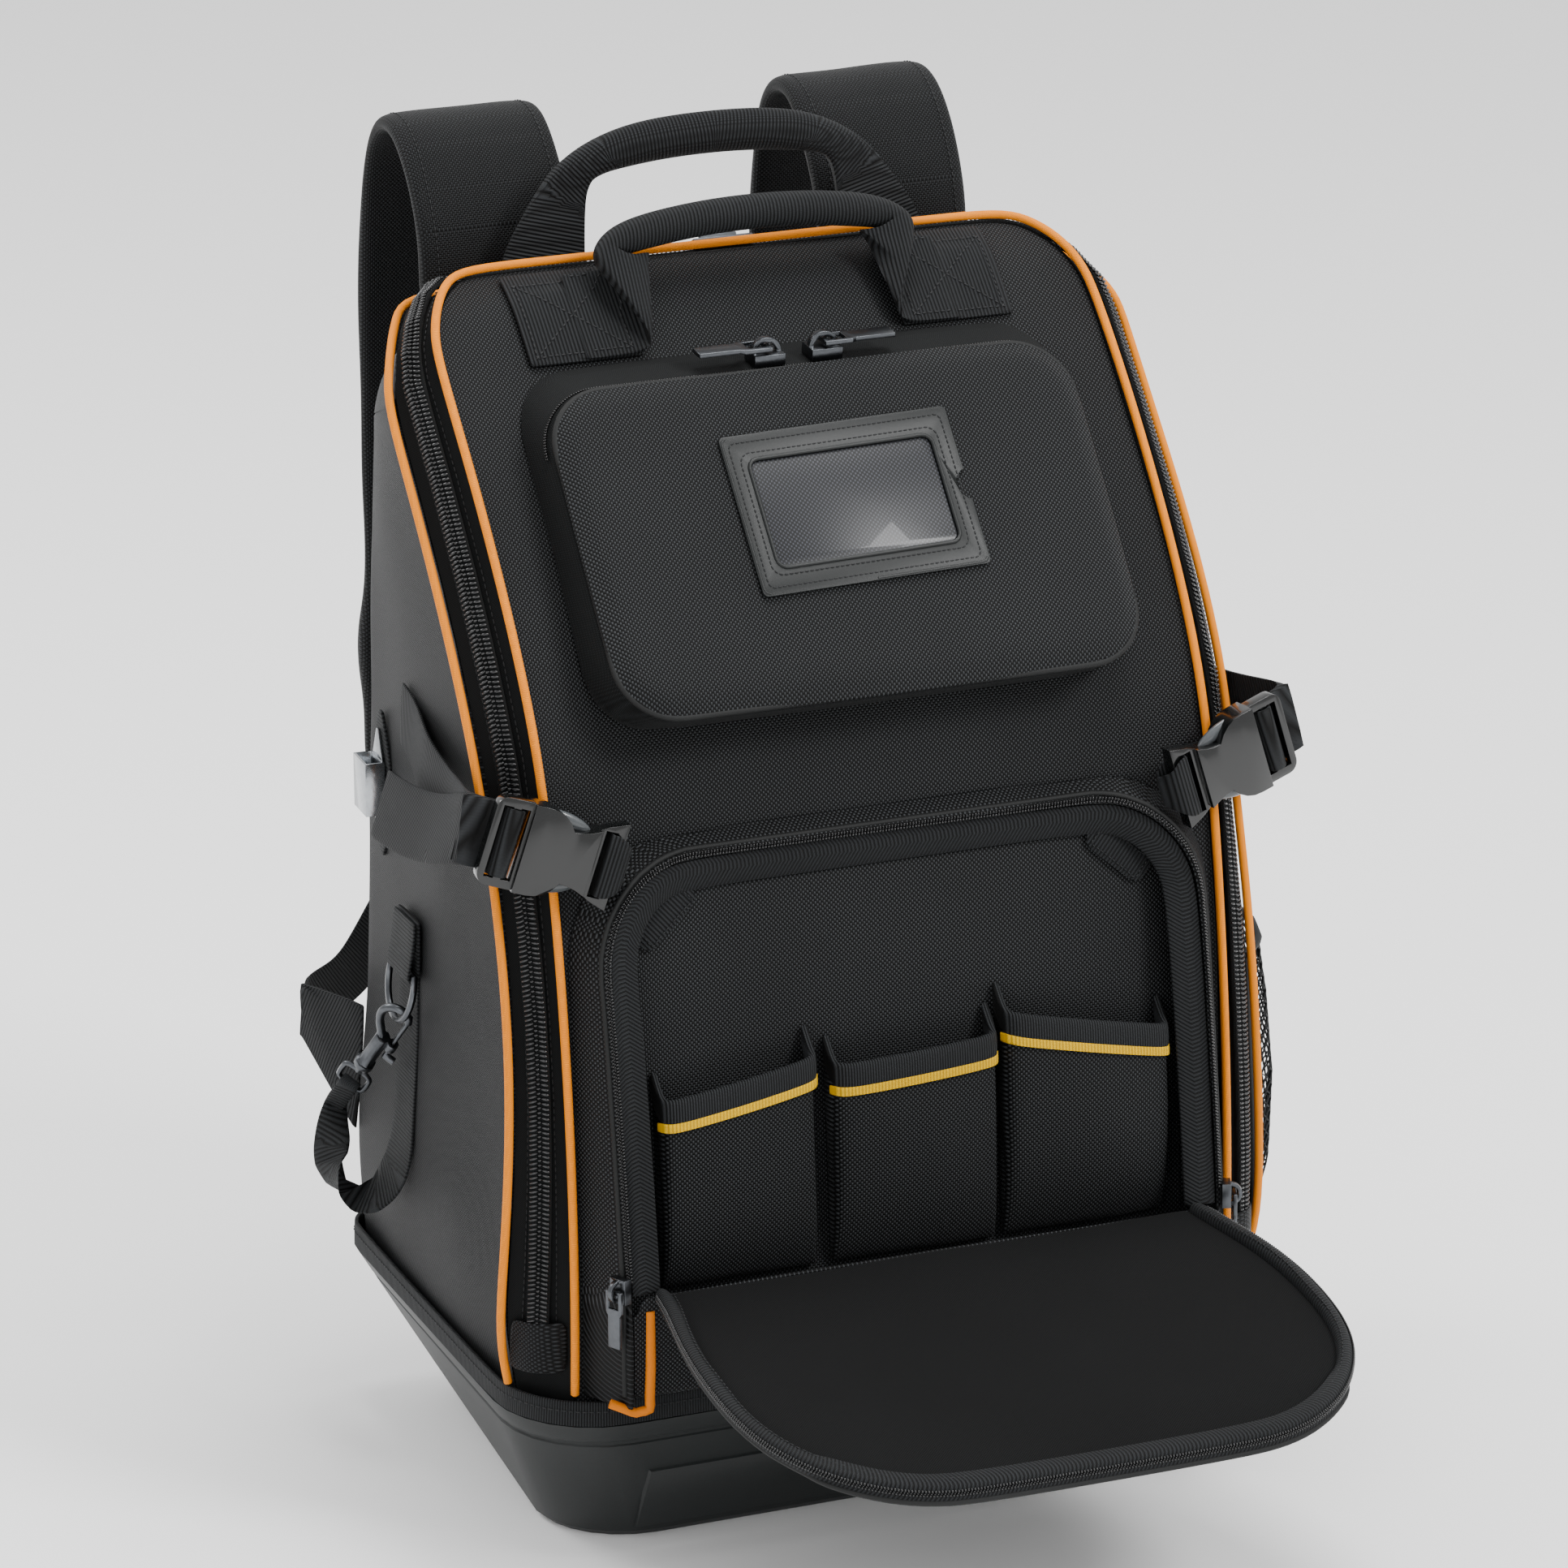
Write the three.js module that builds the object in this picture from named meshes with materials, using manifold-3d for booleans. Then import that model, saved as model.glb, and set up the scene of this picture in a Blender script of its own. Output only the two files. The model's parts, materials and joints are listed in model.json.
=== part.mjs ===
// A tool backpack standing on its moulded base: sewn body panels with piping and a long zip
// gusset, a domed top pocket, an open organiser with a drop flap, handles, shoulder straps,
// side straps with buckles, and the hardware of its left side.
// Millimetres, +Z up, front towards -Y, origin at the centre of the base's underside.
import * as THREE from "three";
import { mergeVertices } from "three/addons/utils/BufferGeometryUtils.js";
import Module from "manifold-3d";

const wasm = await Module();
wasm.setup();

// Sizes of the sewn body.
const BAG_HEIGHT = 522;
const BAG_DEPTH = 224;
const FRONT_HALF = 154;
const SIDE_HALF = 176;
const BACK_HALF = 162;
const BACK_Y = 115;
const FRONT_CORNER = 28;
const REAR_CORNER = 30;
const BACK_CORNER = 40;
const REAR_DROP = 16;
const BACK_DROP = 27;
const BACK_ROUND = 12;
const BACK_CLEAR = 2.6;
const GUSSET_WIDTH = 32;
const BELLY = 10;
const PANEL = 3;
const FABRIC = 1.6;
const GAP = 0.3;
const PIPING_RADIUS = 2.3;

// Sizes of the moulded base and of the bound rim where the fabric meets it.
const RIM_FRONT = 60;
const RIM_BACK = 74;
const RIM_BAND = 11;
const RIM_THICKNESS = 2.2;
const TRAY_WALL = 3;
const TRAY_FLOOR = 4;
const TRAY_GROOVE = 0.9;
const TRAY_TOP = { front: 121, back: 118, frontHalf: 179, backHalf: 175, frontRadius: 45, backRadius: 22 };
const TRAY_FOOT = { front: 104, back: 103, frontHalf: 154, backHalf: 134, frontRadius: 40, backRadius: 28 };
const RELIEF = { half: 122, flare: 9, top: 34, bottom: 6, proud: 1.5 };

// Sizes of the domed pocket near the top.
const POCKET_HALF = 123;
const POCKET_LENGTH = 154;
const POCKET_CORNER = 28;
const POCKET_MID_Z = 425;
const POCKET_TILT = 53.2;
const POCKET_PROUD = 19;
const POCKET_FOOT_SPREAD = 5;
const POCKET_CROWN = 6;
const LABEL = {
  width: 107, height: 74, windowWidth: 85, windowHeight: 49, shift: 3, rise: 9, thickness: 1.2, turn: 1.5,
};
const LABEL_NOTCH = 7.5;

// Sizes of the organiser, its tool pockets and its drop flap.
const ORGANISER_TOP = 304;
const ORGANISER_BOTTOM = 68;
const ORGANISER_HALF = 140;
const ORGANISER_CORNER = 45;
const ORGANISER_TOP_PROUD = 9;
const ORGANISER_FOLD_PROUD = 27;
const ORGANISER_SPREAD = 11;
const FOLD_Z = 123;
const FLANGE = 16;
const TOOL_POCKET = { mouthZ: 212, proud: 15, radius: 7, returnRise: 10 };
const TRIM_HEIGHT = 4;
const TRIM_BELOW = 11;
const FLAP_LENGTH = 184;
const FLAP_HALF = 142;
const FLAP_ROOT_HALF = 130;
const FLAP_CORNER = 80;
const FLAP_DROP = 34;
const FLAP_THICKNESS = 4;
const FLAP_RIM = { width: 8, height: 9 };

// Sizes of webbing, handles and shoulder straps.
const WEBBING = 1.4;
const WIDE_WEBBING = 50;
const SIDE_WEBBING = 30;
const LEASH_WEBBING = 28;
const LOWER_WEBBING = 25;
const STRAP_WIDTH = 75;
const STRAP_THICKNESS = 11;
const STRAP_MIDDLE = 94.5;
const HANDLE = { half: 70, patchOuter: 114, patchInner: 61, bottom: 489, top: 520, middle: 505 };
const HAUL = { half: 70, footInner: 61, footOuter: 102, height: 58 };
const STRAP_RISE = 56;
const STRAP_STANDOFF = 77;
const STRAP_DROP = 260;
const KEEPER = { top: 335, bottom: 307, grow: 2.5 };
const WING = { top: 185, bottom: 126, reach: 40, spread: 10, tipHalf: 12.5 };

// Sizes of zip sliders and their pull tabs.
const SLIDER = { length: 11, width: 9, height: 4, bailRadius: 5.3, bailWire: 1.6, bailWidth: 2.4 };
const PULL = { thickness: 1.6, eye: 7.4, eyeHalf: 4.6, length: 25, half: 3.4 };
const ZIP_WIDTH = 10;
const ZIP_HEIGHT = 2;
const ZIP_LIFT = 1.8;

// Sizes of the side-release buckles.
const BUCKLE = {
  length: 59, half: 19.5, waist: 11.5, ladder: 16, frame: 6, body: 12, slot: 15.8, bar: 3.4, mouth: 7,
};

const lerp = THREE.MathUtils.lerp;
const clamp = THREE.MathUtils.clamp;
const rad = THREE.MathUtils.degToRad;
const vec = (x, y, z) => new THREE.Vector3(x, y, z);
const mirrorX = (point) => vec(-point.x, point.y, point.z);

// The body's shape by height. rise runs from the front rim to the top piping. depth is a share
// of BAG_DEPTH, side of SIDE_HALF, back of BACK_HALF and setback of GUSSET_WIDTH.
const BODY_SHAPE = [
  { rise: 0.0, depth: 0.996, side: 0.966, back: 1.037, setback: 0.75 },
  { rise: 0.07, depth: 1.0, side: 1.014, back: 1.056, setback: 0.64 },
  { rise: 0.17, depth: 1.0, side: 1.005, back: 1.05, setback: 0.5 },
  { rise: 0.275, depth: 0.989, side: 0.99, back: 1.02, setback: 0.4 },
  { rise: 0.375, depth: 0.969, side: 0.981, back: 1.006, setback: 0.38 },
  { rise: 0.515, depth: 0.923, side: 0.977, back: 0.998, setback: 0.53 },
  { rise: 0.615, depth: 0.869, side: 0.983, back: 0.992, setback: 0.64 },
  { rise: 0.715, depth: 0.759, side: 0.983, back: 0.98, setback: 0.72 },
  { rise: 0.837, depth: 0.576, side: 0.978, back: 0.968, setback: 0.8 },
  { rise: 0.9, depth: 0.466, side: 0.978, back: 0.965, setback: 0.8 },
  { rise: 0.94, depth: 0.388, side: 0.978, back: 0.965, setback: 0.8 },
  { rise: 0.97, depth: 0.328, side: 0.978, back: 0.965, setback: 0.8 },
  { rise: 0.99, depth: 0.274, side: 0.978, back: 0.965, setback: 0.8 },
  { rise: 1.0, depth: 0.22, side: 0.978, back: 0.965, setback: 0.8 },
];

// Smooth value of a table's column at a key, by cubic Hermite pieces.
function lookUp(table, key, column, at) {
  const last = table.length - 1;
  const t = clamp(at, table[0][key], table[last][key]);
  let i = 0;
  while (i < last - 1 && t > table[i + 1][key]) i += 1;
  const slope = (a, b) => (table[b][column] - table[a][column]) / (table[b][key] - table[a][key]);
  const here = slope(i, i + 1);
  const before = i > 0 ? (slope(i - 1, i) + here) / 2 : here;
  const after = i + 2 <= last ? (slope(i + 1, i + 2) + here) / 2 : here;
  const step = table[i + 1][key] - table[i][key];
  const s = (t - table[i][key]) / step;
  const from = table[i][column] * (2 * s ** 3 - 3 * s ** 2 + 1) + before * step * (s ** 3 - 2 * s ** 2 + s);
  return from + table[i + 1][column] * (3 * s ** 2 - 2 * s ** 3) + after * step * (s ** 3 - s ** 2);
}

const riseOf = (z) => (z - RIM_FRONT) / (BAG_HEIGHT - RIM_FRONT);
const shapeAt = (column, z) => lookUp(BODY_SHAPE, "rise", column, riseOf(z));
const frontY = (z) => BACK_Y - BAG_DEPTH * shapeAt("depth", z);
const sideX = (z) => SIDE_HALF * shapeAt("side", z);
const backX = (z) => BACK_HALF * shapeAt("back", z);
const rimZ = (y) => lerp(RIM_FRONT, RIM_BACK, (y + TRAY_TOP.front) / (TRAY_TOP.front + TRAY_TOP.back));

// Outward normal of the front surface at a height.
function frontNormal(z) {
  const step = 1.5;
  const slope = (frontY(Math.min(z + step, BAG_HEIGHT)) - frontY(z - step)) / (2 * step);
  return vec(0, -1, slope).normalize();
}

// How far the front panel bellies out low down, at a height and a share of its half width.
function bellyAt(z, share) {
  const fade = clamp(1 - (z - RIM_FRONT) / (BAG_HEIGHT * 0.2), 0, 1);
  return BELLY * fade * fade * (1 - share ** 4);
}

// A closed solid from its vertices and triangles, turned so that its faces point outwards.
function closedSolid(vertices, triangles) {
  let volume = 0;
  for (const [a, b, c] of triangles) {
    volume += vertices[a].dot(vertices[b].clone().cross(vertices[c]));
  }
  const index = triangles.flatMap(([a, b, c]) => (volume < 0 ? [a, c, b] : [a, b, c]));
  const geometry = new THREE.BufferGeometry();
  geometry.setAttribute("position",
    new THREE.Float32BufferAttribute(vertices.flatMap((v) => v.toArray()), 3));
  geometry.setIndex(index);
  geometry.computeVertexNormals();
  return geometry;
}

// A skin over rings of equal length. With loop, the last ring joins the first one again.
function skin(rings, loop = false) {
  const size = rings[0].length;
  const vertices = rings.flat();
  const triangles = [];
  const ringCount = loop ? rings.length : rings.length - 1;
  for (let r = 0; r < ringCount; r += 1) {
    const here = r * size;
    const next = ((r + 1) % rings.length) * size;
    for (let i = 0; i < size; i += 1) {
      const j = (i + 1) % size;
      triangles.push([here + i, here + j, next + j], [here + i, next + j, next + i]);
    }
  }
  if (!loop) {
    for (const [ring, turned] of [[0, true], [rings.length - 1, false]]) {
      const middle = rings[ring].reduce((sum, v) => sum.add(v), vec(0, 0, 0)).divideScalar(size);
      const centre = vertices.push(middle) - 1;
      for (let i = 0; i < size; i += 1) {
        const a = ring * size + i;
        const b = ring * size + ((i + 1) % size);
        triangles.push(turned ? [centre, b, a] : [centre, a, b]);
      }
    }
  }
  return closedSolid(vertices, triangles);
}

// A sheet with thickness between two grids of points of the same rows and columns.
function sheet(outer, inner) {
  const rows = outer.length;
  const columns = outer[0].length;
  const vertices = [...outer.flat(), ...inner.flat()];
  const triangles = [];
  const at = (side, r, c) => side * rows * columns + r * columns + c;
  const quad = (a, b, c, d) => triangles.push([a, b, c], [a, c, d]);
  for (let r = 0; r < rows - 1; r += 1) {
    for (let c = 0; c < columns - 1; c += 1) {
      quad(at(0, r, c), at(0, r, c + 1), at(0, r + 1, c + 1), at(0, r + 1, c));
      quad(at(1, r, c), at(1, r + 1, c), at(1, r + 1, c + 1), at(1, r, c + 1));
    }
    quad(at(0, r, 0), at(0, r + 1, 0), at(1, r + 1, 0), at(1, r, 0));
    quad(at(0, r, columns - 1), at(1, r, columns - 1), at(1, r + 1, columns - 1), at(0, r + 1, columns - 1));
  }
  for (let c = 0; c < columns - 1; c += 1) {
    quad(at(0, 0, c), at(1, 0, c), at(1, 0, c + 1), at(0, 0, c + 1));
    quad(at(0, rows - 1, c), at(0, rows - 1, c + 1), at(1, rows - 1, c + 1), at(1, rows - 1, c));
  }
  return closedSolid(vertices, triangles);
}

// A flat strap along points, each with its own width direction.
function ribbon(points, acrosses, width, thickness) {
  const rings = points.map((point, i) => {
    const before = points[Math.max(i - 1, 0)];
    const after = points[Math.min(i + 1, points.length - 1)];
    const along = after.clone().sub(before).normalize();
    const face = along.clone().cross(acrosses[i]).normalize().multiplyScalar(thickness / 2);
    const across = face.clone().cross(along).normalize();
    across.multiplyScalar((Array.isArray(width) ? width[i] : width) / 2);
    return [
      point.clone().add(across).add(face),
      point.clone().add(across).sub(face),
      point.clone().sub(across).sub(face),
      point.clone().sub(across).add(face),
    ];
  });
  return skin(rings);
}

// Points spread evenly along a smooth curve through the given ones.
function smooth(points, steps) {
  return new THREE.CatmullRomCurve3(points, false, "centripetal").getSpacedPoints(steps);
}

function blendAcross(acrosses, steps) {
  const curve = new THREE.CatmullRomCurve3(acrosses, false, "centripetal");
  return Array.from({ length: steps + 1 }, (_, i) => curve.getPoint(i / steps).normalize());
}

// A rod with one ring of sides at each point, turned about the normals given with the points.
function rod(points, normals, radius, sides) {
  const rings = points.map((point, i) => {
    const before = points[Math.max(i - 1, 0)];
    const after = points[Math.min(i + 1, points.length - 1)];
    const across = after.clone().sub(before).cross(normals[i]).normalize();
    const up = across.clone().cross(after.clone().sub(before)).normalize();
    return Array.from({ length: sides }, (_, k) => {
      const angle = (k / sides) * 2 * Math.PI;
      return point.clone().addScaledVector(across, radius * Math.cos(angle))
        .addScaledVector(up, radius * Math.sin(angle));
    });
  });
  return skin(rings);
}

function toManifold(geometry) {
  const plain = geometry.clone();
  for (const name of ["normal", "uv"]) plain.deleteAttribute(name);
  const merged = mergeVertices(plain, 1e-4);
  const vertProperties = new Float32Array(merged.attributes.position.array);
  const triVerts = new Uint32Array(merged.index.array);
  return new wasm.Manifold(new wasm.Mesh({ numProp: 3, vertProperties, triVerts }));
}

function fromManifold(solid) {
  const { vertProperties, triVerts, numProp } = solid.getMesh();
  const positions = [];
  for (let i = 0; i < vertProperties.length; i += numProp) {
    positions.push(vertProperties[i], vertProperties[i + 1], vertProperties[i + 2]);
  }
  const geometry = new THREE.BufferGeometry();
  geometry.setAttribute("position", new THREE.Float32BufferAttribute(positions, 3));
  geometry.setIndex(Array.from(triVerts));
  geometry.computeVertexNormals();
  return geometry;
}

const join = (...parts) => fromManifold(parts.map(toManifold).reduce((a, b) => a.add(b)));
const cut = (part, ...tools) =>
  fromManifold(tools.map(toManifold).reduce((a, b) => a.subtract(b), toManifold(part)));
const moved = (geometry, x, y, z) => geometry.clone().translate(x, y, z);
const box = (x, y, z) => new THREE.BoxGeometry(x, y, z);

const fabric = new THREE.MeshStandardMaterial({ color: 0x1b1c1d, roughness: 0.9 });
const webbingFabric = new THREE.MeshStandardMaterial({ color: 0x141414, roughness: 0.85 });
const orange = new THREE.MeshStandardMaterial({ color: 0xf39a26, roughness: 0.7 });
const yellow = new THREE.MeshStandardMaterial({ color: 0xe9c31c, roughness: 0.7 });
const zipBlack = new THREE.MeshStandardMaterial({ color: 0x101010, roughness: 0.4 });
const moulded = new THREE.MeshStandardMaterial({ color: 0x2b2d2d, roughness: 0.6 });
const glossPlastic = new THREE.MeshStandardMaterial({ color: 0x151617, roughness: 0.25 });
const gunMetal = new THREE.MeshStandardMaterial({ color: 0x4a4b4d, roughness: 0.25, metalness: 1 });
const steel = new THREE.MeshStandardMaterial({ color: 0xb9bbbd, roughness: 0.25, metalness: 1 });
const vinyl = new THREE.MeshStandardMaterial({ color: 0x26282a, roughness: 0.5 });

const backpack = new THREE.Group();

function place(name, geometry, material, parent = backpack) {
  const mesh = new THREE.Mesh(geometry, material);
  mesh.name = name;
  parent.add(mesh);
  return mesh;
}

// The three seam loops of the body run from the left rim over the top to the right rim.
const LEG_STEPS = 12;
const CORNER_STEPS = 4;
const TOP_STEPS = 4;
const CORNER_ROW = LEG_STEPS + CORNER_STEPS;

// One seam loop: x and y by height on the legs, an arc at each corner, and a flat top.
function seamLoop({ top, corner, half, legX, legY, topY, footZ }) {
  const left = [];
  const cornerZ = top - corner;
  const cornerX = half - corner;
  for (let i = 0; i < LEG_STEPS; i += 1) {
    const z = lerp(footZ, cornerZ, i / LEG_STEPS);
    left.push(vec(-legX(z), legY(z), z));
  }
  for (let k = 0; k < CORNER_STEPS; k += 1) {
    const angle = (k / CORNER_STEPS) * (Math.PI / 2);
    const z = cornerZ + corner * Math.sin(angle);
    const y = topY === null ? legY(z) : lerp(legY(cornerZ), topY, 1 - Math.cos(angle));
    left.push(vec(-(cornerX + corner * Math.cos(angle)), y, z));
  }
  for (let m = 0; m < TOP_STEPS; m += 1) {
    left.push(vec(-cornerX * (1 - m / TOP_STEPS), topY === null ? legY(top) : topY, top));
  }
  const middle = vec(0, topY === null ? legY(top) : topY, top);
  return [...left, middle, ...left.map(mirrorX).reverse()];
}

const FOOT_LIFT = GAP;
const frontLoop = seamLoop({
  top: BAG_HEIGHT,
  corner: FRONT_CORNER,
  half: FRONT_HALF,
  legX: () => FRONT_HALF,
  legY: frontY,
  topY: null,
  footZ: rimZ(frontY(RIM_FRONT)) + FOOT_LIFT,
});
const rearY = (z) => frontY(z) + GUSSET_WIDTH * shapeAt("setback", z);
const rearLoop = seamLoop({
  top: BAG_HEIGHT - REAR_DROP,
  corner: REAR_CORNER,
  half: SIDE_HALF * 0.978,
  legX: sideX,
  legY: rearY,
  topY: frontY(BAG_HEIGHT) + GUSSET_WIDTH * 0.9,
  footZ: rimZ(rearY(RIM_FRONT)) + FOOT_LIFT,
});
const backLoop = seamLoop({
  top: BAG_HEIGHT - BACK_DROP,
  corner: BACK_CORNER,
  half: BACK_HALF * 0.965,
  legX: backX,
  legY: () => BACK_Y - BACK_ROUND,
  topY: BACK_Y - BACK_ROUND,
  footZ: rimZ(BACK_Y) + FOOT_LIFT,
});

// Outward normals of the strip between two seam loops.
function stripNormals(loopA, loopB) {
  return loopA.map((point, i) => {
    const before = loopA[Math.max(i - 1, 0)];
    const after = loopA[Math.min(i + 1, loopA.length - 1)];
    const normal = after.clone().sub(before).cross(loopB[i].clone().sub(point)).normalize();
    const outward = point.clone().sub(vec(0, 0, BAG_HEIGHT * 0.6));
    return normal.dot(outward) < 0 ? normal.negate() : normal;
  });
}

// Step from a seam to where two walls of the given thickness meet on the inside.
function mitre(normalA, normalB, thickness) {
  return normalA.clone().add(normalB).multiplyScalar(-thickness / (1 + normalA.dot(normalB)));
}

const frontNormals = frontLoop.map((point) => frontNormal(point.z));
const gussetNormals = stripNormals(frontLoop, rearLoop);
const sideNormals = stripNormals(rearLoop, backLoop);
const moveLoop = (loop, normalsA, normalsB, thickness) =>
  loop.map((point, i) => point.clone().add(mitre(normalsA[i], normalsB[i], thickness)));
const frontInner = moveLoop(frontLoop, frontNormals, gussetNormals, PANEL);
const rearInner = moveLoop(rearLoop, gussetNormals, sideNormals, PANEL);
const backInner = moveLoop(backLoop, sideNormals, sideNormals, PANEL);

// The share of a side's bulge that is reached at a height and a share of the way across.
function swellAt(z, share) {
  return clamp((z - RIM_BACK) / (BAG_HEIGHT * 0.15), 0, 1) * Math.sin(Math.PI * share);
}

// A wall between two seam loops, from station first to station last, bulged between its seams.
function stripWall(edgeA, edgeB, innerA, innerB, normals, first, last, bulge) {
  const columns = bulge > 0 ? [0, 0.33, 0.67, 1] : [0, 1];
  const row = (a, b, i) => columns.map((share) => {
    const trim = GAP / a[i].distanceTo(b[i]);
    const point = a[i].clone().lerp(b[i], lerp(trim, 1 - trim, share));
    return point.addScaledVector(normals[i], bulge * swellAt(point.z, share));
  });
  const outer = [];
  const inner = [];
  for (let i = first; i <= last; i += 1) {
    outer.push(row(edgeA, edgeB, i));
    inner.push(row(innerA, innerB, i));
  }
  const pull = (rows, from, to) => rows[from].forEach((p, c) => {
    p.lerp(rows[to][c], GAP / 2 / p.distanceTo(rows[to][c]));
  });
  for (const rows of [outer, inner]) {
    pull(rows, 0, 1);
    pull(rows, rows.length - 1, rows.length - 2);
  }
  return sheet(outer, inner);
}

// The share of a panel's half width at each of its columns.
const HALF_COLUMNS = 4;
const COLUMN_SHARES = Array.from({ length: 2 * HALF_COLUMNS + 1 }, (_, i) => i / HALF_COLUMNS - 1);

// The front panel hangs between the two legs of the front seam loop.
function frontPanel() {
  const outer = [];
  const inner = [];
  for (let i = 0; i <= CORNER_ROW; i += 1) {
    const edge = frontLoop[i];
    const edgeIn = frontInner[i];
    const trim = 1 - GAP / Math.abs(edge.x);
    const z = i === CORNER_ROW ? edge.z - GAP : edge.z;
    outer.push(COLUMN_SHARES.map((share) => vec(edge.x * -share * trim, edge.y - bellyAt(z, share), z)));
    inner.push(COLUMN_SHARES.map((share) => {
      const deep = vec(edgeIn.x * -share * trim, edgeIn.y - bellyAt(z, share), edgeIn.z);
      return i === 0 ? deep.setZ(edge.z) : deep;
    }));
  }
  return sheet(outer, inner);
}

// The back panel is flat, with its edges rounded towards the side seam.
function backPanel() {
  const outer = [];
  const inner = [];
  const shares = [-1, -0.97, -0.92, 0, 0.92, 0.97, 1];
  for (let i = 0; i <= CORNER_ROW; i += 1) {
    const edge = backLoop[i];
    const edgeIn = backInner[i];
    const trim = 1 - BACK_CLEAR / Math.abs(edge.x);
    const fromTop = BAG_HEIGHT - BACK_DROP - edge.z;
    const drop = BACK_CLEAR * clamp(1 - fromTop / BACK_CORNER, 0, 1);
    const row = (rim, radius) => shares.map((share) => {
      const inset = clamp(Math.min(fromTop, Math.abs(rim.x) * (1 - Math.abs(share))) / BACK_ROUND, 0, 1);
      const round = radius * Math.sqrt(1 - (1 - inset) ** 2);
      return vec(rim.x * -share * trim, rim.y + round, rim.z - drop);
    });
    outer.push(row(edge, BACK_ROUND));
    inner.push(row(edgeIn, BACK_ROUND - PANEL));
    if (i === 0) inner[0].forEach((p) => p.setZ(edge.z));
  }
  return sheet(outer, inner);
}

const LAST = frontLoop.length - 1;
const SIDE_BULGE = 3;
place("front_panel", frontPanel(), fabric);
place("zip_gusset", stripWall(frontLoop, rearLoop, frontInner, rearInner, gussetNormals, 0, LAST, 0), fabric);
const sideWall = (first, last, bulge) =>
  stripWall(rearLoop, backLoop, rearInner, backInner, sideNormals, first, last, bulge);
place("side_panel_left", sideWall(0, LEG_STEPS, SIDE_BULGE), fabric);
place("side_panel_right", sideWall(LAST - LEG_STEPS, LAST, SIDE_BULGE), fabric);
place("top_panel", sideWall(LEG_STEPS, LAST - LEG_STEPS, 0), fabric);
place("back_panel", backPanel(), fabric);

// Piping lies in the outer corner of a seam, clear of the binding at the rim.
function piping(loop, normalsA, normalsB) {
  const route = loop.map((point, i) => {
    const outward = normalsA[i].clone().add(normalsB[i]).normalize();
    return point.clone().addScaledVector(outward, PIPING_RADIUS + 2 * GAP);
  });
  for (const [end, next] of [[0, 1], [LAST, LAST - 1]]) {
    const share = (RIM_BAND + PIPING_RADIUS / 2) / route[end].distanceTo(route[next]);
    route[end] = route[end].clone().lerp(route[next], share);
  }
  return rod(route, normalsA, PIPING_RADIUS, 6);
}

place("piping_front", piping(frontLoop, frontNormals, gussetNormals), orange);
place("piping_rear", piping(rearLoop, gussetNormals, sideNormals), orange);

// The long zip runs along the middle of the gusset.
function mainZip() {
  const rows = [];
  for (let i = 0; i <= LAST; i += 1) {
    const across = rearLoop[i].clone().sub(frontLoop[i]).normalize();
    const middle = frontLoop[i].clone().lerp(rearLoop[i], 0.5);
    rows.push({ middle, across, normal: gussetNormals[i] });
  }
  for (const [end, next] of [[0, 1], [LAST, LAST - 1]]) {
    rows[end].middle.lerp(rows[next].middle, 0.9);
  }
  const ring = ({ middle, across, normal }) =>
    [[-1, 1], [1, 1], [1, 0], [-1, 0]].map(([side, up]) => middle.clone()
      .addScaledVector(across, (side * ZIP_WIDTH) / 2)
      .addScaledVector(normal, ZIP_LIFT + up * ZIP_HEIGHT));
  return skin(rows.map(ring));
}

place("main_zip", mainZip(), zipBlack);

// The pair of main sliders parks together at the middle of the top.
function mainSlider() {
  const middle = (LAST) / 2;
  const across = rearLoop[middle].clone().sub(frontLoop[middle]).normalize();
  const normal = gussetNormals[middle];
  const centre = frontLoop[middle].clone().lerp(rearLoop[middle], 0.5);
  centre.addScaledVector(normal, ZIP_LIFT + ZIP_HEIGHT + GAP * 2 + SLIDER.height / 2);
  const body = join(
    box(SLIDER.length * 2.6, ZIP_WIDTH + 3, SLIDER.height),
    moved(box(SLIDER.length * 1.6, SLIDER.bailWidth, SLIDER.height), 0, 0, SLIDER.height * 0.7),
  );
  const turn = new THREE.Matrix4().makeBasis(vec(1, 0, 0), across, vec(1, 0, 0).cross(across));
  return body.applyMatrix4(turn).translate(centre.x, centre.y, centre.z);
}

place("main_slider", mainSlider(), gunMetal);

// Corners of a trapezoid in plan with rounded corners, from the right front corner round.
function planOutline({ front, back, frontHalf, backHalf, frontRadius, backRadius }, inset, arcSteps) {
  const corners = [
    { x: frontHalf, y: -front, radius: frontRadius, from: -90 },
    { x: backHalf, y: back, radius: backRadius, from: 0 },
    { x: -backHalf, y: back, radius: backRadius, from: 90 },
    { x: -frontHalf, y: -front, radius: frontRadius, from: 180 },
  ];
  return corners.flatMap(({ x, y, radius, from }) =>
    Array.from({ length: arcSteps + 1 }, (_, k) => {
      const angle = rad(from + (90 * k) / arcSteps);
      const cx = x - Math.sign(x) * radius;
      const cy = y - Math.sign(y) * radius;
      return { x: cx + (radius - inset) * Math.cos(angle), y: cy + (radius - inset) * Math.sin(angle) };
    }));
}

const PLAN_STEPS = 6;

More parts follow.
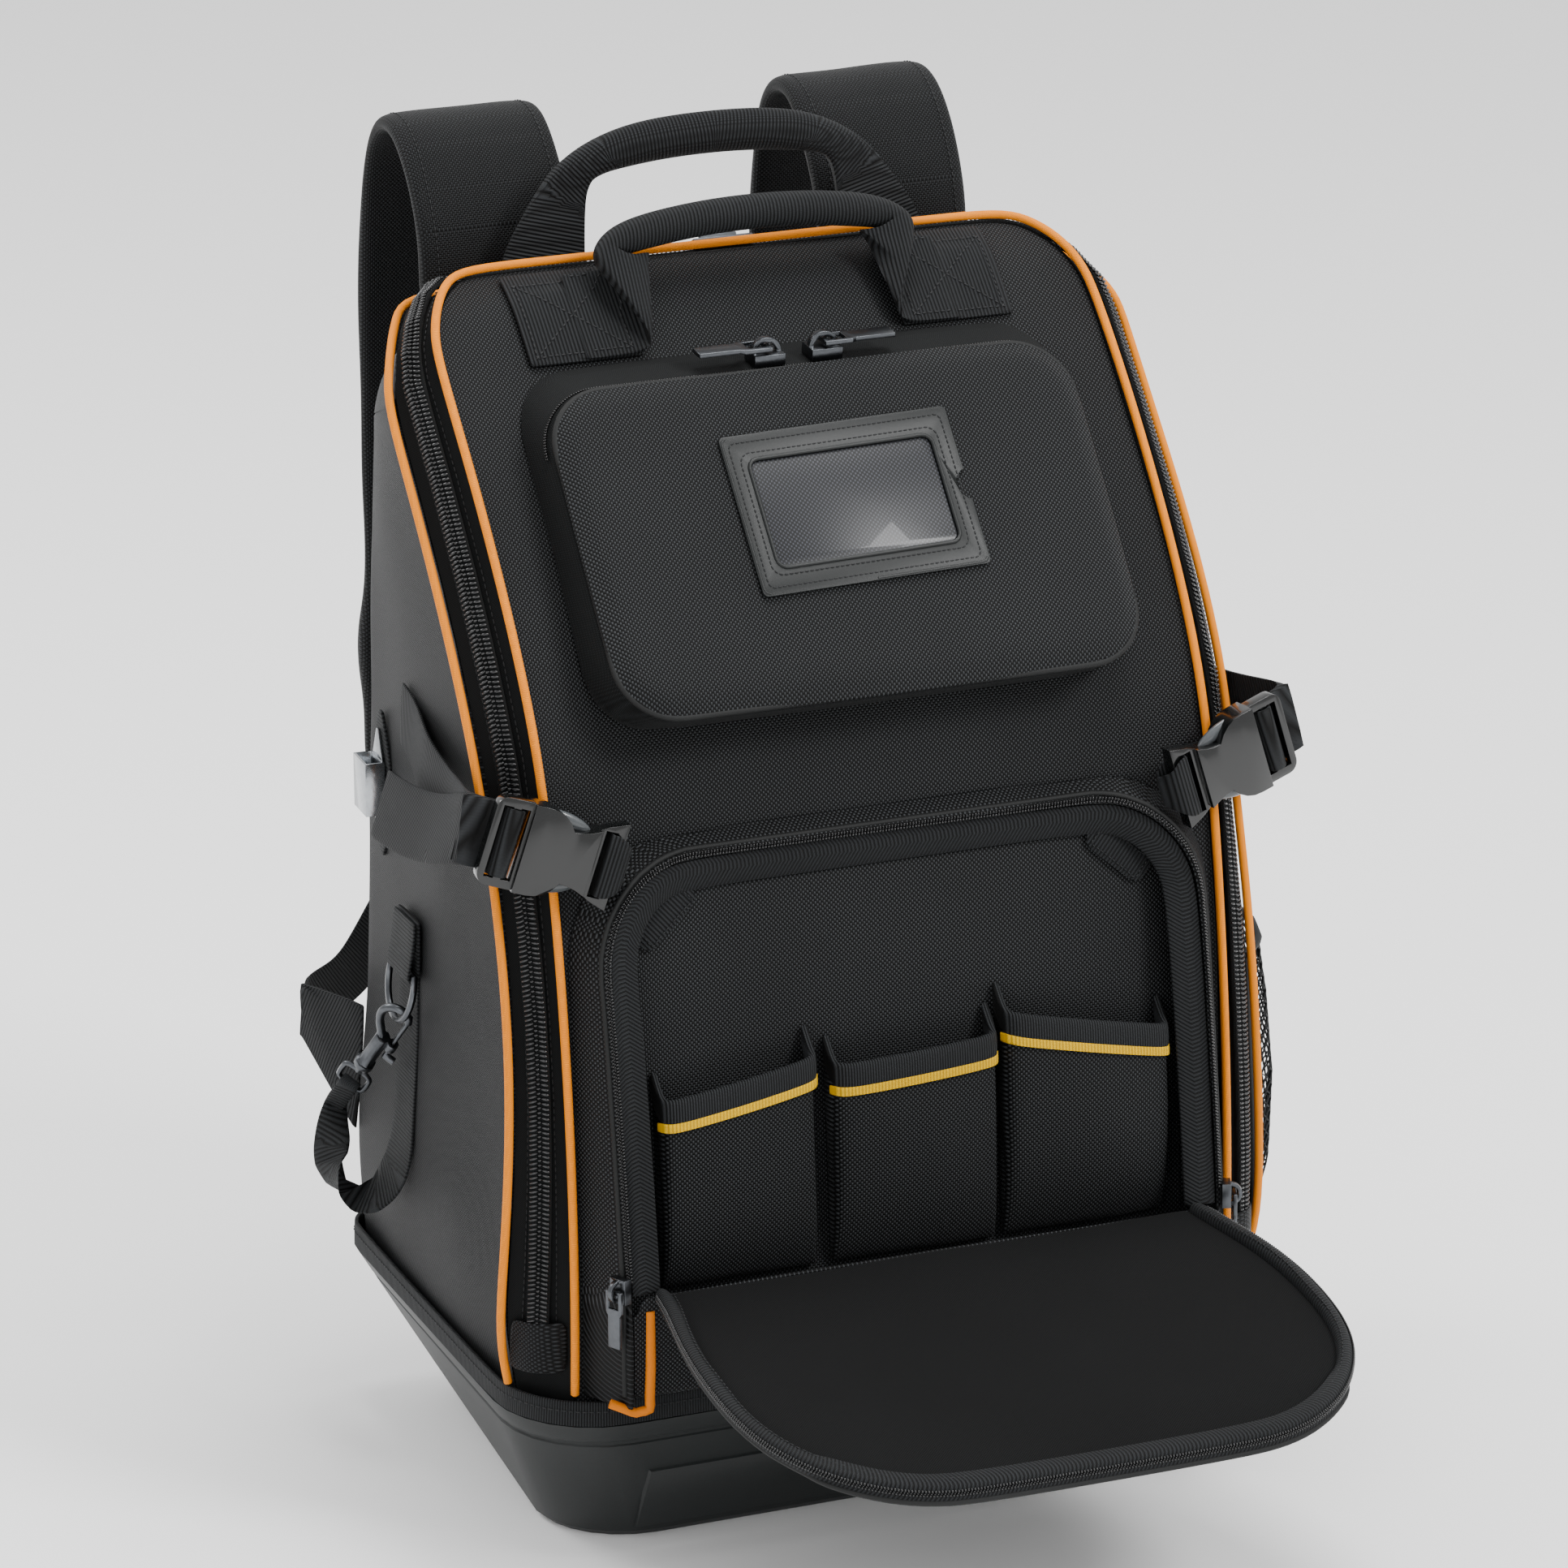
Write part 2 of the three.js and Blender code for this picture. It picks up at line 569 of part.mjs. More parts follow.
// The moulded base tray: an open tub that flares from its foot to the rim.
function baseTray() {
  const levels = [
    { height: 0, inset: 2.5 },
    { height: 0.05, inset: 0 },
    { height: 0.82, inset: 0 },
    { height: 0.83, inset: TRAY_GROOVE },
    { height: 0.86, inset: TRAY_GROOVE },
    { height: 0.87, inset: 0 },
    { height: 1, inset: 0 },
  ];
  const ring = (height, inset, lift = 0) => {
    const foot = planOutline(TRAY_FOOT, inset, PLAN_STEPS);
    const top = planOutline(TRAY_TOP, inset, PLAN_STEPS);
    return foot.map((low, i) => {
      const x = lerp(low.x, top[i].x, height);
      const y = lerp(low.y, top[i].y, height);
      return vec(x, y, (rimZ(top[i].y) - GAP) * height + lift);
    });
  };
  const outside = levels.map(({ height, inset }) => ring(height, inset));
  const inside = [ring(1, TRAY_WALL), ring(0.05, TRAY_WALL, TRAY_FLOOR - 0.05 * RIM_FRONT)];
  inside[1].forEach((p) => p.setZ(TRAY_FLOOR));
  const wallY = (z) => -lerp(TRAY_FOOT.front, TRAY_TOP.front, z / RIM_FRONT);
  const reliefRing = (grow, proud) => [
    [-RELIEF.half - grow, RELIEF.top + grow],
    [RELIEF.half + grow, RELIEF.top + grow],
    [RELIEF.half + RELIEF.flare + grow, RELIEF.bottom - grow],
    [-RELIEF.half - RELIEF.flare - grow, RELIEF.bottom - grow],
  ].map(([x, z]) => vec(clamp(x, -RELIEF.half - 4, RELIEF.half + 4), wallY(z) - proud, z));
  const relief = skin([reliefRing(0, RELIEF.proud), reliefRing(RELIEF.proud, -TRAY_WALL / 2)]);
  return join(skin([...outside, ...inside]), relief);
}

// The bound rim wraps the lower edge of the fabric just above the tray.
function rimBinding() {
  const ring = (inset, lift) =>
    planOutline(TRAY_TOP, inset, PLAN_STEPS).map(({ x, y }) => vec(x, y, rimZ(y) + lift));
  const rings = [ring(-0.6, 0), ring(-0.2, RIM_BAND),
    ring(RIM_THICKNESS - 0.6, RIM_BAND), ring(RIM_THICKNESS - 0.6, 0)];
  return skin(rings, true);
}

place("base_tray", baseTray(), moulded);
place("rim_binding", rimBinding(), webbingFabric);


// Where the built front panel's outer face lies, straight between its rows and its columns.
function faceY(x, z) {
  let i = 0;
  while (i < CORNER_ROW - 1 && z > frontLoop[i + 1].z) i += 1;
  const rowY = ({ x: half, y, z: height }) => {
    const column = clamp(Math.abs(x / half), 0, 1) * HALF_COLUMNS;
    const from = Math.min(Math.floor(column), HALF_COLUMNS - 1);
    const bellies = [from, from + 1].map((at) => bellyAt(height, at / HALF_COLUMNS));
    return y - lerp(bellies[0], bellies[1], column - from);
  };
  const [low, high] = [frontLoop[i], frontLoop[i + 1]];
  return lerp(rowY(low), rowY(high), clamp((z - low.z) / (high.z - low.z), 0, 1));
}

const onFront = (x, z, lift) => vec(x, faceY(x, z), z).addScaledVector(frontNormal(z), lift);

// A flat patch sewn on the front panel, whose rows follow the panel's own rows.
function frontPatch(xs, bottom, top, lift, thickness) {
  const between = frontLoop.slice(0, CORNER_ROW).map((p) => p.z).filter((z) => z > bottom + 2 && z < top - 2);
  const rows = [bottom, ...between, top];
  const grid = (out) => rows.map((z) => xs.map((x) => onFront(x, z, out)));
  return sheet(grid(lift + thickness), grid(lift));
}

// Where the left side panel's outer face lies.
function onSide(y, z, lift) {
  const at = (loop) => {
    let i = 0;
    while (i < LEG_STEPS - 1 && z > loop[i + 1].z) i += 1;
    return loop[i].clone().lerp(loop[i + 1], (z - loop[i].z) / (loop[i + 1].z - loop[i].z));
  };
  const rear = at(rearLoop);
  const back = at(backLoop);
  const share = clamp((y - rear.y) / (back.y - rear.y), 0, 1);
  const outward = vec(rear.y - back.y, back.x - rear.x, 0).normalize();
  return rear.lerp(back, share).addScaledVector(outward, SIDE_BULGE * swellAt(z, share) + lift);
}

// The directions that lie in the left side panel at a place: back along it and up it.
const sideAcross = (y, z) => onSide(y + 5, z, 0).sub(onSide(y - 5, z, 0)).normalize();
const sideUp = (y, z) => onSide(y, z + 5, 0).sub(onSide(y, z - 5, 0)).normalize();

// A strap whose section changes on its way: each section has half its width, half its thickness
// and a squareness, from 1 for an oval to 6 for a flat band.
function rolled(points, acrosses, sections, sides) {
  const rings = points.map((point, i) => {
    const before = points[Math.max(i - 1, 0)];
    const after = points[Math.min(i + 1, points.length - 1)];
    const along = after.clone().sub(before).normalize();
    const face = along.cross(acrosses[i]).normalize();
    const across = acrosses[i];
    const { half, thick, square } = sections[i];
    const swell = (value) => Math.sign(value) * Math.abs(value) ** (1 / square);
    return Array.from({ length: sides }, (_, k) => {
      const angle = ((k + 0.5) / sides) * 2 * Math.PI;
      return point.clone()
        .addScaledVector(across, half * swell(Math.cos(angle)))
        .addScaledVector(face, thick * swell(Math.sin(angle)));
    });
  });
  return skin(rings);
}

const mirrored = (geometry) => {
  const copy = geometry.clone().scale(-1, 1, 1);
  const index = Array.from(copy.index.array);
  for (let i = 0; i < index.length; i += 3) [index[i + 1], index[i + 2]] = [index[i + 2], index[i + 1]];
  copy.setIndex(index);
  copy.computeVertexNormals();
  return copy;
};

// Both halves of a route that is the same left and right, from its left half up to the middle.
const bothHalves = (half, mirror) => [...half, ...half.slice(0, -1).map(mirror).reverse()];

// The domed pocket stands on the upper slope in a frame of its own: +Y up the slope, +Z outwards.
const POCKET_MID_Y = faceY(0, POCKET_MID_Z) - POCKET_PROUD / Math.cos(rad(90 - POCKET_TILT));
const topPocket = new THREE.Group();
topPocket.position.set(0, POCKET_MID_Y, POCKET_MID_Z);
topPocket.rotation.x = rad(POCKET_TILT);
topPocket.updateMatrixWorld(true);
backpack.add(topPocket);

const POCKET_ARC_STEPS = 4;
const POCKET_WALL = 2;
const POCKET_FACE = { thickness: 3, edge: 2.5, shoulder: 6, flat: 14, rise: 3.2 };
const POCKET_FOOT = { bottom: 352, top: 488 };

// The pocket's outline, a rounded rectangle drawn in by an inset, with points along its sides.
function pocketOutline(inset) {
  const size = {
    front: POCKET_LENGTH / 2, back: POCKET_LENGTH / 2, frontHalf: POCKET_HALF, backHalf: POCKET_HALF,
  };
  const corners = { frontRadius: POCKET_CORNER, backRadius: POCKET_CORNER };
  const outline = planOutline({ ...size, ...corners }, inset, POCKET_ARC_STEPS);
  return outline.flatMap((point, i) => {
    const next = outline[(i + 1) % outline.length];
    const onSideEdge = Math.abs(next.x - point.x) < 1 && Math.abs(next.y - point.y) > POCKET_CORNER;
    const shares = onSideEdge ? [0, 0.17, 0.33, 0.5, 0.67, 0.83] : [0];
    return shares.map((share) => ({ x: lerp(point.x, next.x, share), y: lerp(point.y, next.y, share) }));
  });
}

function topPocketFace() {
  const ring = (inset, height) => pocketOutline(inset).map(({ x, y }) => vec(x, y, height));
  const { thickness, edge, shoulder, flat, rise } = POCKET_FACE;
  const crown = POCKET_CROWN - 0.5;
  return skin([
    ring(flat, crown - thickness),
    ring(shoulder, rise - thickness),
    ring(POCKET_WALL / 2, -edge),
    ring(0, -edge / 2),
    ring(0, 0),
    ring(shoulder, rise),
    ring(flat, crown),
  ]);
}

function topPocketGusset() {
  const spread = (POCKET_HALF + POCKET_FOOT_SPREAD) / POCKET_HALF;
  const foot = ({ x, y }) => {
    const z = lerp(POCKET_FOOT.bottom, POCKET_FOOT.top, y / POCKET_LENGTH + 0.5);
    return topPocket.worldToLocal(onFront(x * spread, z, 2 * GAP));
  };
  const outer = pocketOutline(0);
  const inner = pocketOutline(POCKET_WALL);
  const high = -POCKET_FACE.edge - GAP;
  const rings = [
    outer.map(({ x, y }) => vec(x, y, high)),
    outer.map(foot),
    inner.map(foot),
    inner.map(({ x, y }) => vec(x, y, high)),
  ];
  return skin(rings, true);
}

place("top_pocket_gusset", topPocketGusset(), fabric, topPocket);
place("top_pocket_face", topPocketFace(), fabric, topPocket);

// A rounded rectangle as a shape, centred on the origin.
function roundedRectangle(width, height, radius) {
  const [x, y] = [width / 2, height / 2];
  const shape = new THREE.Shape();
  shape.moveTo(-x + radius, -y);
  shape.lineTo(x - radius, -y);
  shape.absarc(x - radius, -y + radius, radius, -Math.PI / 2, 0, false);
  shape.lineTo(x, y - radius);
  shape.absarc(x - radius, y - radius, radius, 0, Math.PI / 2, false);
  shape.lineTo(-x + radius, y);
  shape.absarc(-x + radius, y - radius, radius, Math.PI / 2, Math.PI, false);
  shape.lineTo(-x, -y + radius);
  shape.absarc(-x + radius, -y + radius, radius, Math.PI, 1.5 * Math.PI, false);
  return shape;
}

// A plate of the given outline, whose points are thinned of repeats first.
function extruded(shape, depth, curveSegments = 3) {
  const thinned = (points) => points.filter((p, i) => p.distanceTo(points[(i + 1) % points.length]) > 0.01);
  const { shape: outline, holes } = shape.extractPoints(curveSegments);
  const clean = new THREE.Shape(thinned(outline));
  clean.holes = holes.map((points) => new THREE.Path(thinned(points)));
  return new THREE.ExtrudeGeometry(clean, { depth, bevelEnabled: false, curveSegments: 1 });
}

// The card holder: a vinyl frame with a thumb notch in its right edge and a clear window.
function labelFrame() {
  const outline = roundedRectangle(LABEL.width, LABEL.height, LABEL.thickness * 2);
  outline.holes.push(new THREE.Path(roundedRectangle(LABEL.windowWidth, LABEL.windowHeight, 4).getPoints(3)));
  const notch = new THREE.CylinderGeometry(LABEL_NOTCH, LABEL_NOTCH, 4 * LABEL.thickness, 12);
  notch.rotateX(Math.PI / 2).translate(LABEL.width / 2 + LABEL_NOTCH * 0.3, 0, 0);
  return cut(extruded(outline, LABEL.thickness), notch);
}

const labelHeight = POCKET_CROWN - 0.5 + GAP;
const labelMesh = place("label_frame", labelFrame(), vinyl, topPocket);
labelMesh.position.set(LABEL.shift, LABEL.rise, labelHeight);
labelMesh.rotation.z = rad(LABEL.turn);
const windowOutline = roundedRectangle(LABEL.windowWidth - 2 * GAP, LABEL.windowHeight - 2 * GAP, 4 - GAP);
const windowMesh = place("label_window", extruded(windowOutline, LABEL.thickness / 2),
  glossPlastic, topPocket);
windowMesh.position.copy(labelMesh.position);
windowMesh.rotation.copy(labelMesh.rotation);

// The organiser's rim by height: it stands further out towards the fold of its flap.
const RIM_CURVE = 0.55;
function organiserY(z) {
  const share = clamp((ORGANISER_TOP - z) / (ORGANISER_TOP - FOLD_Z), 0, 1) ** RIM_CURVE;
  return lerp(frontY(ORGANISER_TOP) - ORGANISER_TOP_PROUD, frontY(FOLD_Z) - ORGANISER_FOLD_PROUD, share);
}

const organiserFoot = rimZ(frontY(RIM_FRONT)) + RIM_BAND + 2 * GAP;
const ORGANISER_LEG = [0, 0.12, 0.25, 0.5, 0.75, 1];
const ORGANISER_ARC = 5;

// Stations of the arch from the left foot over the top to the right foot, drawn in by an inset.
function archStations(inset, footZ) {
  const radius = ORGANISER_CORNER - inset;
  const shoulderZ = ORGANISER_TOP - ORGANISER_CORNER;
  const left = ORGANISER_LEG.slice(0, -1)
    .map((share) => ({ x: -ORGANISER_HALF + inset, z: lerp(footZ, shoulderZ, share) }));
  for (let k = 0; k <= ORGANISER_ARC; k += 1) {
    const angle = (k / ORGANISER_ARC) * (Math.PI / 2);
    const x = -(ORGANISER_HALF - ORGANISER_CORNER) - radius * Math.cos(angle);
    left.push({ x, z: shoulderZ + radius * Math.sin(angle) });
  }
  const middle = { x: 0, z: ORGANISER_TOP - inset };
  return bothHalves([...left, middle], ({ x, z }) => ({ x: -x, z }));
}

const ORGANISER_WALL = 2;

// The organiser's gusset rises from the front panel to the zipped rim, open at its foot.
function organiserGusset() {
  const base = (inset) => archStations(inset, organiserFoot).map(({ x, z }) => {
    const up = z > ORGANISER_TOP - ORGANISER_CORNER ? ORGANISER_SPREAD * 0.6 : 0;
    const share = (z - ORGANISER_TOP + ORGANISER_CORNER) / ORGANISER_CORNER;
    return onFront(x * (1 + ORGANISER_SPREAD / ORGANISER_HALF), z + up * clamp(share, 0, 1), 2 * GAP);
  });
  const rim = (inset) =>
    archStations(inset, organiserFoot).map(({ x, z }) => vec(x, organiserY(z + inset), z));
  const rings = rim(0).map((_, i) =>
    [rim(0)[i], rim(ORGANISER_WALL)[i], base(ORGANISER_WALL)[i], base(0)[i]]);
  return skin(rings);
}

// A woven tape along the inside of the rim, set back from its edge.
function organiserFlange() {
  const recess = { outer: 1, inner: 1.5 };
  const tape = (inset, back) =>
    archStations(inset, FOLD_Z + GAP).map(({ x, z }) => vec(x, organiserY(z + inset) + back, z));
  const outset = ORGANISER_WALL + GAP;
  const edges = [[outset, recess.outer], [FLANGE, recess.inner], [FLANGE, recess.inner + WEBBING],
    [outset, recess.outer + WEBBING]].map(([inset, back]) => tape(inset, back));
  return skin(edges[0].map((_, i) => edges.map((edge) => edge[i])));
}

// The low wall between the fold and the base, turned in to the panel at its foot.
function organiserFront() {
  const half = ORGANISER_HALF - ORGANISER_WALL - GAP;
  const rows = [
    { z: organiserFoot, proud: 0.35 },
    { z: lerp(organiserFoot, FOLD_Z, 0.1), proud: 0.93 },
    { z: lerp(organiserFoot, FOLD_Z, 0.25), proud: 1 },
    { z: FOLD_Z - GAP, proud: 1 },
  ];
  const y = (proud) => lerp(frontY(RIM_FRONT) - BELLY, organiserY(FOLD_Z), proud);
  const grid = (back) =>
    rows.map(({ z, proud }) => [-1, 1].map((side) => vec(side * half, y(proud) + back, z)));
  return sheet(grid(0), grid(FABRIC));
}

const BACKING_LIFT = 3 * GAP;

// The padded back of the organiser lies on the front panel, within the arch.
function organiserBack() {
  const inset = ORGANISER_WALL + 6;
  const radius = ORGANISER_CORNER - inset;
  const top = ORGANISER_TOP - inset - 2;
  const shoulder = top - radius;
  const between = frontLoop.map((p) => p.z).slice(0, LEG_STEPS)
    .filter((z) => z > FOLD_Z - 20 && z < shoulder - 2);
  const arc = [0, 0.45, 0.75, 0.93, 1].map((share) => shoulder + radius * share);
  const halfAt = (z) =>
    ORGANISER_HALF - inset - radius + Math.sqrt(radius ** 2 - clamp(z - shoulder, 0, radius) ** 2);
  const rows = [FOLD_Z - 20, ...between, ...arc];
  const grid = (lift) =>
    rows.map((z) => [-1, -0.5, 0, 0.5, 1].map((share) => onFront(share * halfAt(z), z, lift)));
  return sheet(grid(BACKING_LIFT + FABRIC), grid(BACKING_LIFT));
}

place("organiser_gusset", organiserGusset(), fabric);
place("organiser_front", organiserFront(), fabric);
place("organiser_flange", organiserFlange(), webbingFabric);
place("organiser_back", organiserBack(), fabric);

// Each tool pocket by its two edges, and how far its mouth stands above mouthZ at each of them.
const TOOL_POCKETS = [
  { name: "left", from: -117, to: -45, mouth: [-10, 1] },
  { name: "middle", from: -37, to: 40, mouth: [-5, -1] },
  { name: "right", from: 44, to: 122, mouth: [7, -9] },
];

// A pocket's plan from its left seam round the front to its right seam, grown by an offset.
function pocketPlan({ from, to }, proud, offset) {
  const r = Math.min(TOOL_POCKET.radius, proud / 2);
  const half = [
    { x: from - offset, out: 0 },
    { x: from - offset, out: proud - r },
    { x: from + 0.3 * r - 0.7 * offset, out: proud - 0.3 * r + 0.7 * offset },
    { x: from + r, out: proud + offset },
  ];
  const middle = { x: (from + to) / 2, out: proud + 1.5 + offset };
  return [...half, middle, ...half.map(({ x, out }) => ({ x: from + to - x, out })).reverse()];
}

const mouthAt = ({ from, to, mouth }, x) =>
  TOOL_POCKET.mouthZ + lerp(mouth[0], mouth[1], clamp((x - from) / (to - from), 0, 1));
const TOOL_POCKET_FOOT = FOLD_Z - 5;
const BACKING_FACE = BACKING_LIFT + FABRIC + 3 * GAP;

// A wall of the tool pocket, open at its mouth and drawn in to the back at its foot.
function toolPocket(pocket) {
  const { proud } = TOOL_POCKET;
  const rows = [
    { proud: proud * 0.2, z: () => TOOL_POCKET_FOOT },
    { proud: proud * 0.75, z: () => TOOL_POCKET_FOOT + proud },
    { proud: proud * 0.93, z: () => lerp(TOOL_POCKET_FOOT, TOOL_POCKET.mouthZ, 0.5) },
    { proud, z: (x, out) => mouthAt(pocket, x) + (out < 1 ? TOOL_POCKET.returnRise : 0) },
  ];
  const grid = (offset) => rows.map((row) => pocketPlan(pocket, row.proud, offset).map(({ x, out }) => {
    const z = row.z(x, out);
    return vec(x, faceY(x, z) - BACKING_FACE - out, z);
  }));
  return sheet(grid(0), grid(-FABRIC));
}

// The yellow trim runs round the front of a tool pocket, under the binding of its mouth.
function pocketTrim(pocket) {
  const row = (offset, drop) => pocketPlan(pocket, TOOL_POCKET.proud, offset)
    .slice(1, -1).map(({ x, out }) => {
    const z = mouthAt(pocket, x) - drop;
    return vec(x, faceY(x, z) - BACKING_FACE - out, z);
  });
  const grid = (offset) =>
    [row(offset, TRIM_BELOW + TRIM_HEIGHT / 2), row(offset, TRIM_BELOW - TRIM_HEIGHT / 2)];
  return sheet(grid(2 * GAP + 0.8), grid(2 * GAP));
}

for (const pocket of TOOL_POCKETS) {
  place(`tool_pocket_${pocket.name}`, toolPocket(pocket), fabric);
  place(`pocket_trim_${pocket.name}`, pocketTrim(pocket), yellow);
}

// The flap hangs forward from the fold and sinks towards its far edge.
const flapY = (reach) => organiserY(FOLD_Z) - 2 * GAP - reach;
const flapZ = (reach) => FOLD_Z - FLAP_DROP * (reach / FLAP_LENGTH) ** 1.6;
const FLAP_LEG = [0, 0.2, 0.45, 0.72];
const FLAP_ARC = 5;

// Points of the flap's outline from its left root to the middle of its far edge.
function flapStations(inset) {
  const straight = FLAP_LENGTH - FLAP_CORNER;
  const radius = FLAP_CORNER - inset;
  const halfAt = (reach) =>
    lerp(FLAP_ROOT_HALF, FLAP_HALF, THREE.MathUtils.smoothstep(reach, 0, FLAP_LENGTH * 0.4));
  const left = FLAP_LEG.map((share) => ({ x: inset - halfAt(share * straight), reach: share * straight }));
  for (let k = 0; k <= FLAP_ARC; k += 1) {
    const angle = (k / FLAP_ARC) * (Math.PI / 2);
    const x = FLAP_CORNER - FLAP_HALF - radius * Math.cos(angle);
    left.push({ x, reach: straight + radius * Math.sin(angle) });
  }
  return left;
}

function flapPanel() {
  const rows = flapStations(FLAP_RIM.width + GAP);
  const grid = (lift) => rows.map(({ x, reach }) =>
    [1, 0.5, 0, -0.5, -1].map((share) => vec(x * share, flapY(reach), flapZ(reach) + lift)));
  return sheet(grid(0), grid(-FLAP_THICKNESS));
}

function flapRim() {
  const edge = (inset, lift) => {
    const left = flapStations(inset).map(({ x, reach }) => vec(x, flapY(reach), flapZ(reach) + lift));
    return [...left, ...left.map(mirrorX).reverse()];
  };
  const high = FLAP_RIM.height - FLAP_THICKNESS;
  const edges = [edge(0, -FLAP_THICKNESS), edge(0, high),
    edge(FLAP_RIM.width, high), edge(FLAP_RIM.width, -FLAP_THICKNESS)];
  return skin(edges[0].map((_, i) => edges.map((points) => points[i])));
}

place("flap_panel", flapPanel(), fabric);
place("flap_rim", flapRim(), webbingFabric);

// A slider in its own frame: +X along the zip, +Z away from it, with a bail over its middle.
function sliderBody() {
  const bail = new THREE.Shape();
  bail.absarc(0, 0, SLIDER.bailRadius, 0, Math.PI, false);
  bail.absarc(0, 0, SLIDER.bailRadius - SLIDER.bailWire, Math.PI, 0, true);
  const arch = extruded(bail, SLIDER.bailWidth, 6);
  arch.translate(0, 0, -SLIDER.bailWidth / 2).rotateX(Math.PI / 2).translate(0, 0, SLIDER.height - GAP);
  return join(moved(box(SLIDER.length, SLIDER.width, SLIDER.height), 0, 0, SLIDER.height / 2), arch);
}

const PULL_PIVOT = SLIDER.height + (SLIDER.bailRadius - SLIDER.bailWire) / 2;

// A pull tab about its pivot: a plate along +X with an eye round the slider's bail.
function pullTab() {
  const bar = PULL.thickness / 2;
  const shape = new THREE.Shape();
  shape.moveTo(-bar, -PULL.eyeHalf);
  shape.lineTo(PULL.eye + 2 * bar, -PULL.eyeHalf);
  shape.lineTo(PULL.eye + 4 * bar, -PULL.half);
  shape.lineTo(PULL.length, -PULL.half);
  shape.lineTo(PULL.length, PULL.half);
  shape.lineTo(PULL.eye + 4 * bar, PULL.half);
  shape.lineTo(PULL.eye + 2 * bar, PULL.eyeHalf);
  shape.lineTo(-bar, PULL.eyeHalf);
  const hole = PULL.eyeHalf - PULL.thickness;
  shape.holes.push(new THREE.Path([[bar, -hole], [bar, hole], [PULL.eye, hole], [PULL.eye, -hole]]
    .map(([x, y]) => new THREE.Vector2(x, y))));
  return extruded(shape, PULL.thickness).translate(0, 0, -bar);
}

// Put a slider with its pull on a zip: origin on the zip, along it, and away from it.
function placeSlider(name, origin, along, away, size = 1) {
  const holder = new THREE.Group();
  const across = away.clone().cross(along).normalize();
  const basis = new THREE.Matrix4().makeBasis(along, across, along.clone().cross(across));
  holder.quaternion.setFromRotationMatrix(basis);
  holder.position.copy(origin);
  holder.scale.setScalar(size);
  backpack.add(holder);
  const [where, side] = name;
  place(`${where}_slider_${side}`, sliderBody(), gunMetal, holder);
  place(`${where}_pull_${side}`, pullTab(), gunMetal, holder).position.z = PULL_PIVOT;
}

// The top pocket's two sliders stand side by side on the upper wall of its gusset.
const pocketWallTop = topPocket.localToWorld(vec(0, POCKET_LENGTH / 2, -POCKET_FACE.edge - GAP));
const pocketWallFoot = onFront(0, POCKET_FOOT.top, 2 * GAP);
const pocketWallDown = pocketWallFoot.clone().sub(pocketWallTop).normalize();
const pocketWallOut = pocketWallDown.clone().cross(vec(-1, 0, 0)).normalize();
const POCKET_SLIDER = { left: -14, right: 13, down: 8, size: 1.3 };
for (const [side, x] of [["left", POCKET_SLIDER.left], ["right", POCKET_SLIDER.right]]) {
  const origin = pocketWallTop.clone().addScaledVector(pocketWallDown, POCKET_SLIDER.down).setX(x);
  const along = vec(Math.sign(x), 0, 0);
  placeSlider(["pocket", side], origin.addScaledVector(pocketWallOut, GAP),
    along, pocketWallOut, POCKET_SLIDER.size);
}

// The organiser's two sliders are parked where its zip ends, with their pulls hanging down.
const ORGANISER_SLIDER = { z: 127, in: 2.5 };
for (const [side, sign] of [["left", -1], ["right", 1]]) {
  const rim = vec(sign * ORGANISER_HALF, organiserY(ORGANISER_SLIDER.z), ORGANISER_SLIDER.z);
  const foot = onFront(sign * (ORGANISER_HALF + ORGANISER_SPREAD), ORGANISER_SLIDER.z, 2 * GAP);
  const inward = foot.sub(rim).setZ(0).normalize();
  const away = vec(sign * inward.y, -sign * inward.x, 0);
  const origin = rim.addScaledVector(inward, ORGANISER_SLIDER.in).addScaledVector(away, GAP);
  placeSlider(["organiser", side], origin, vec(0, 0, -1), away);
}

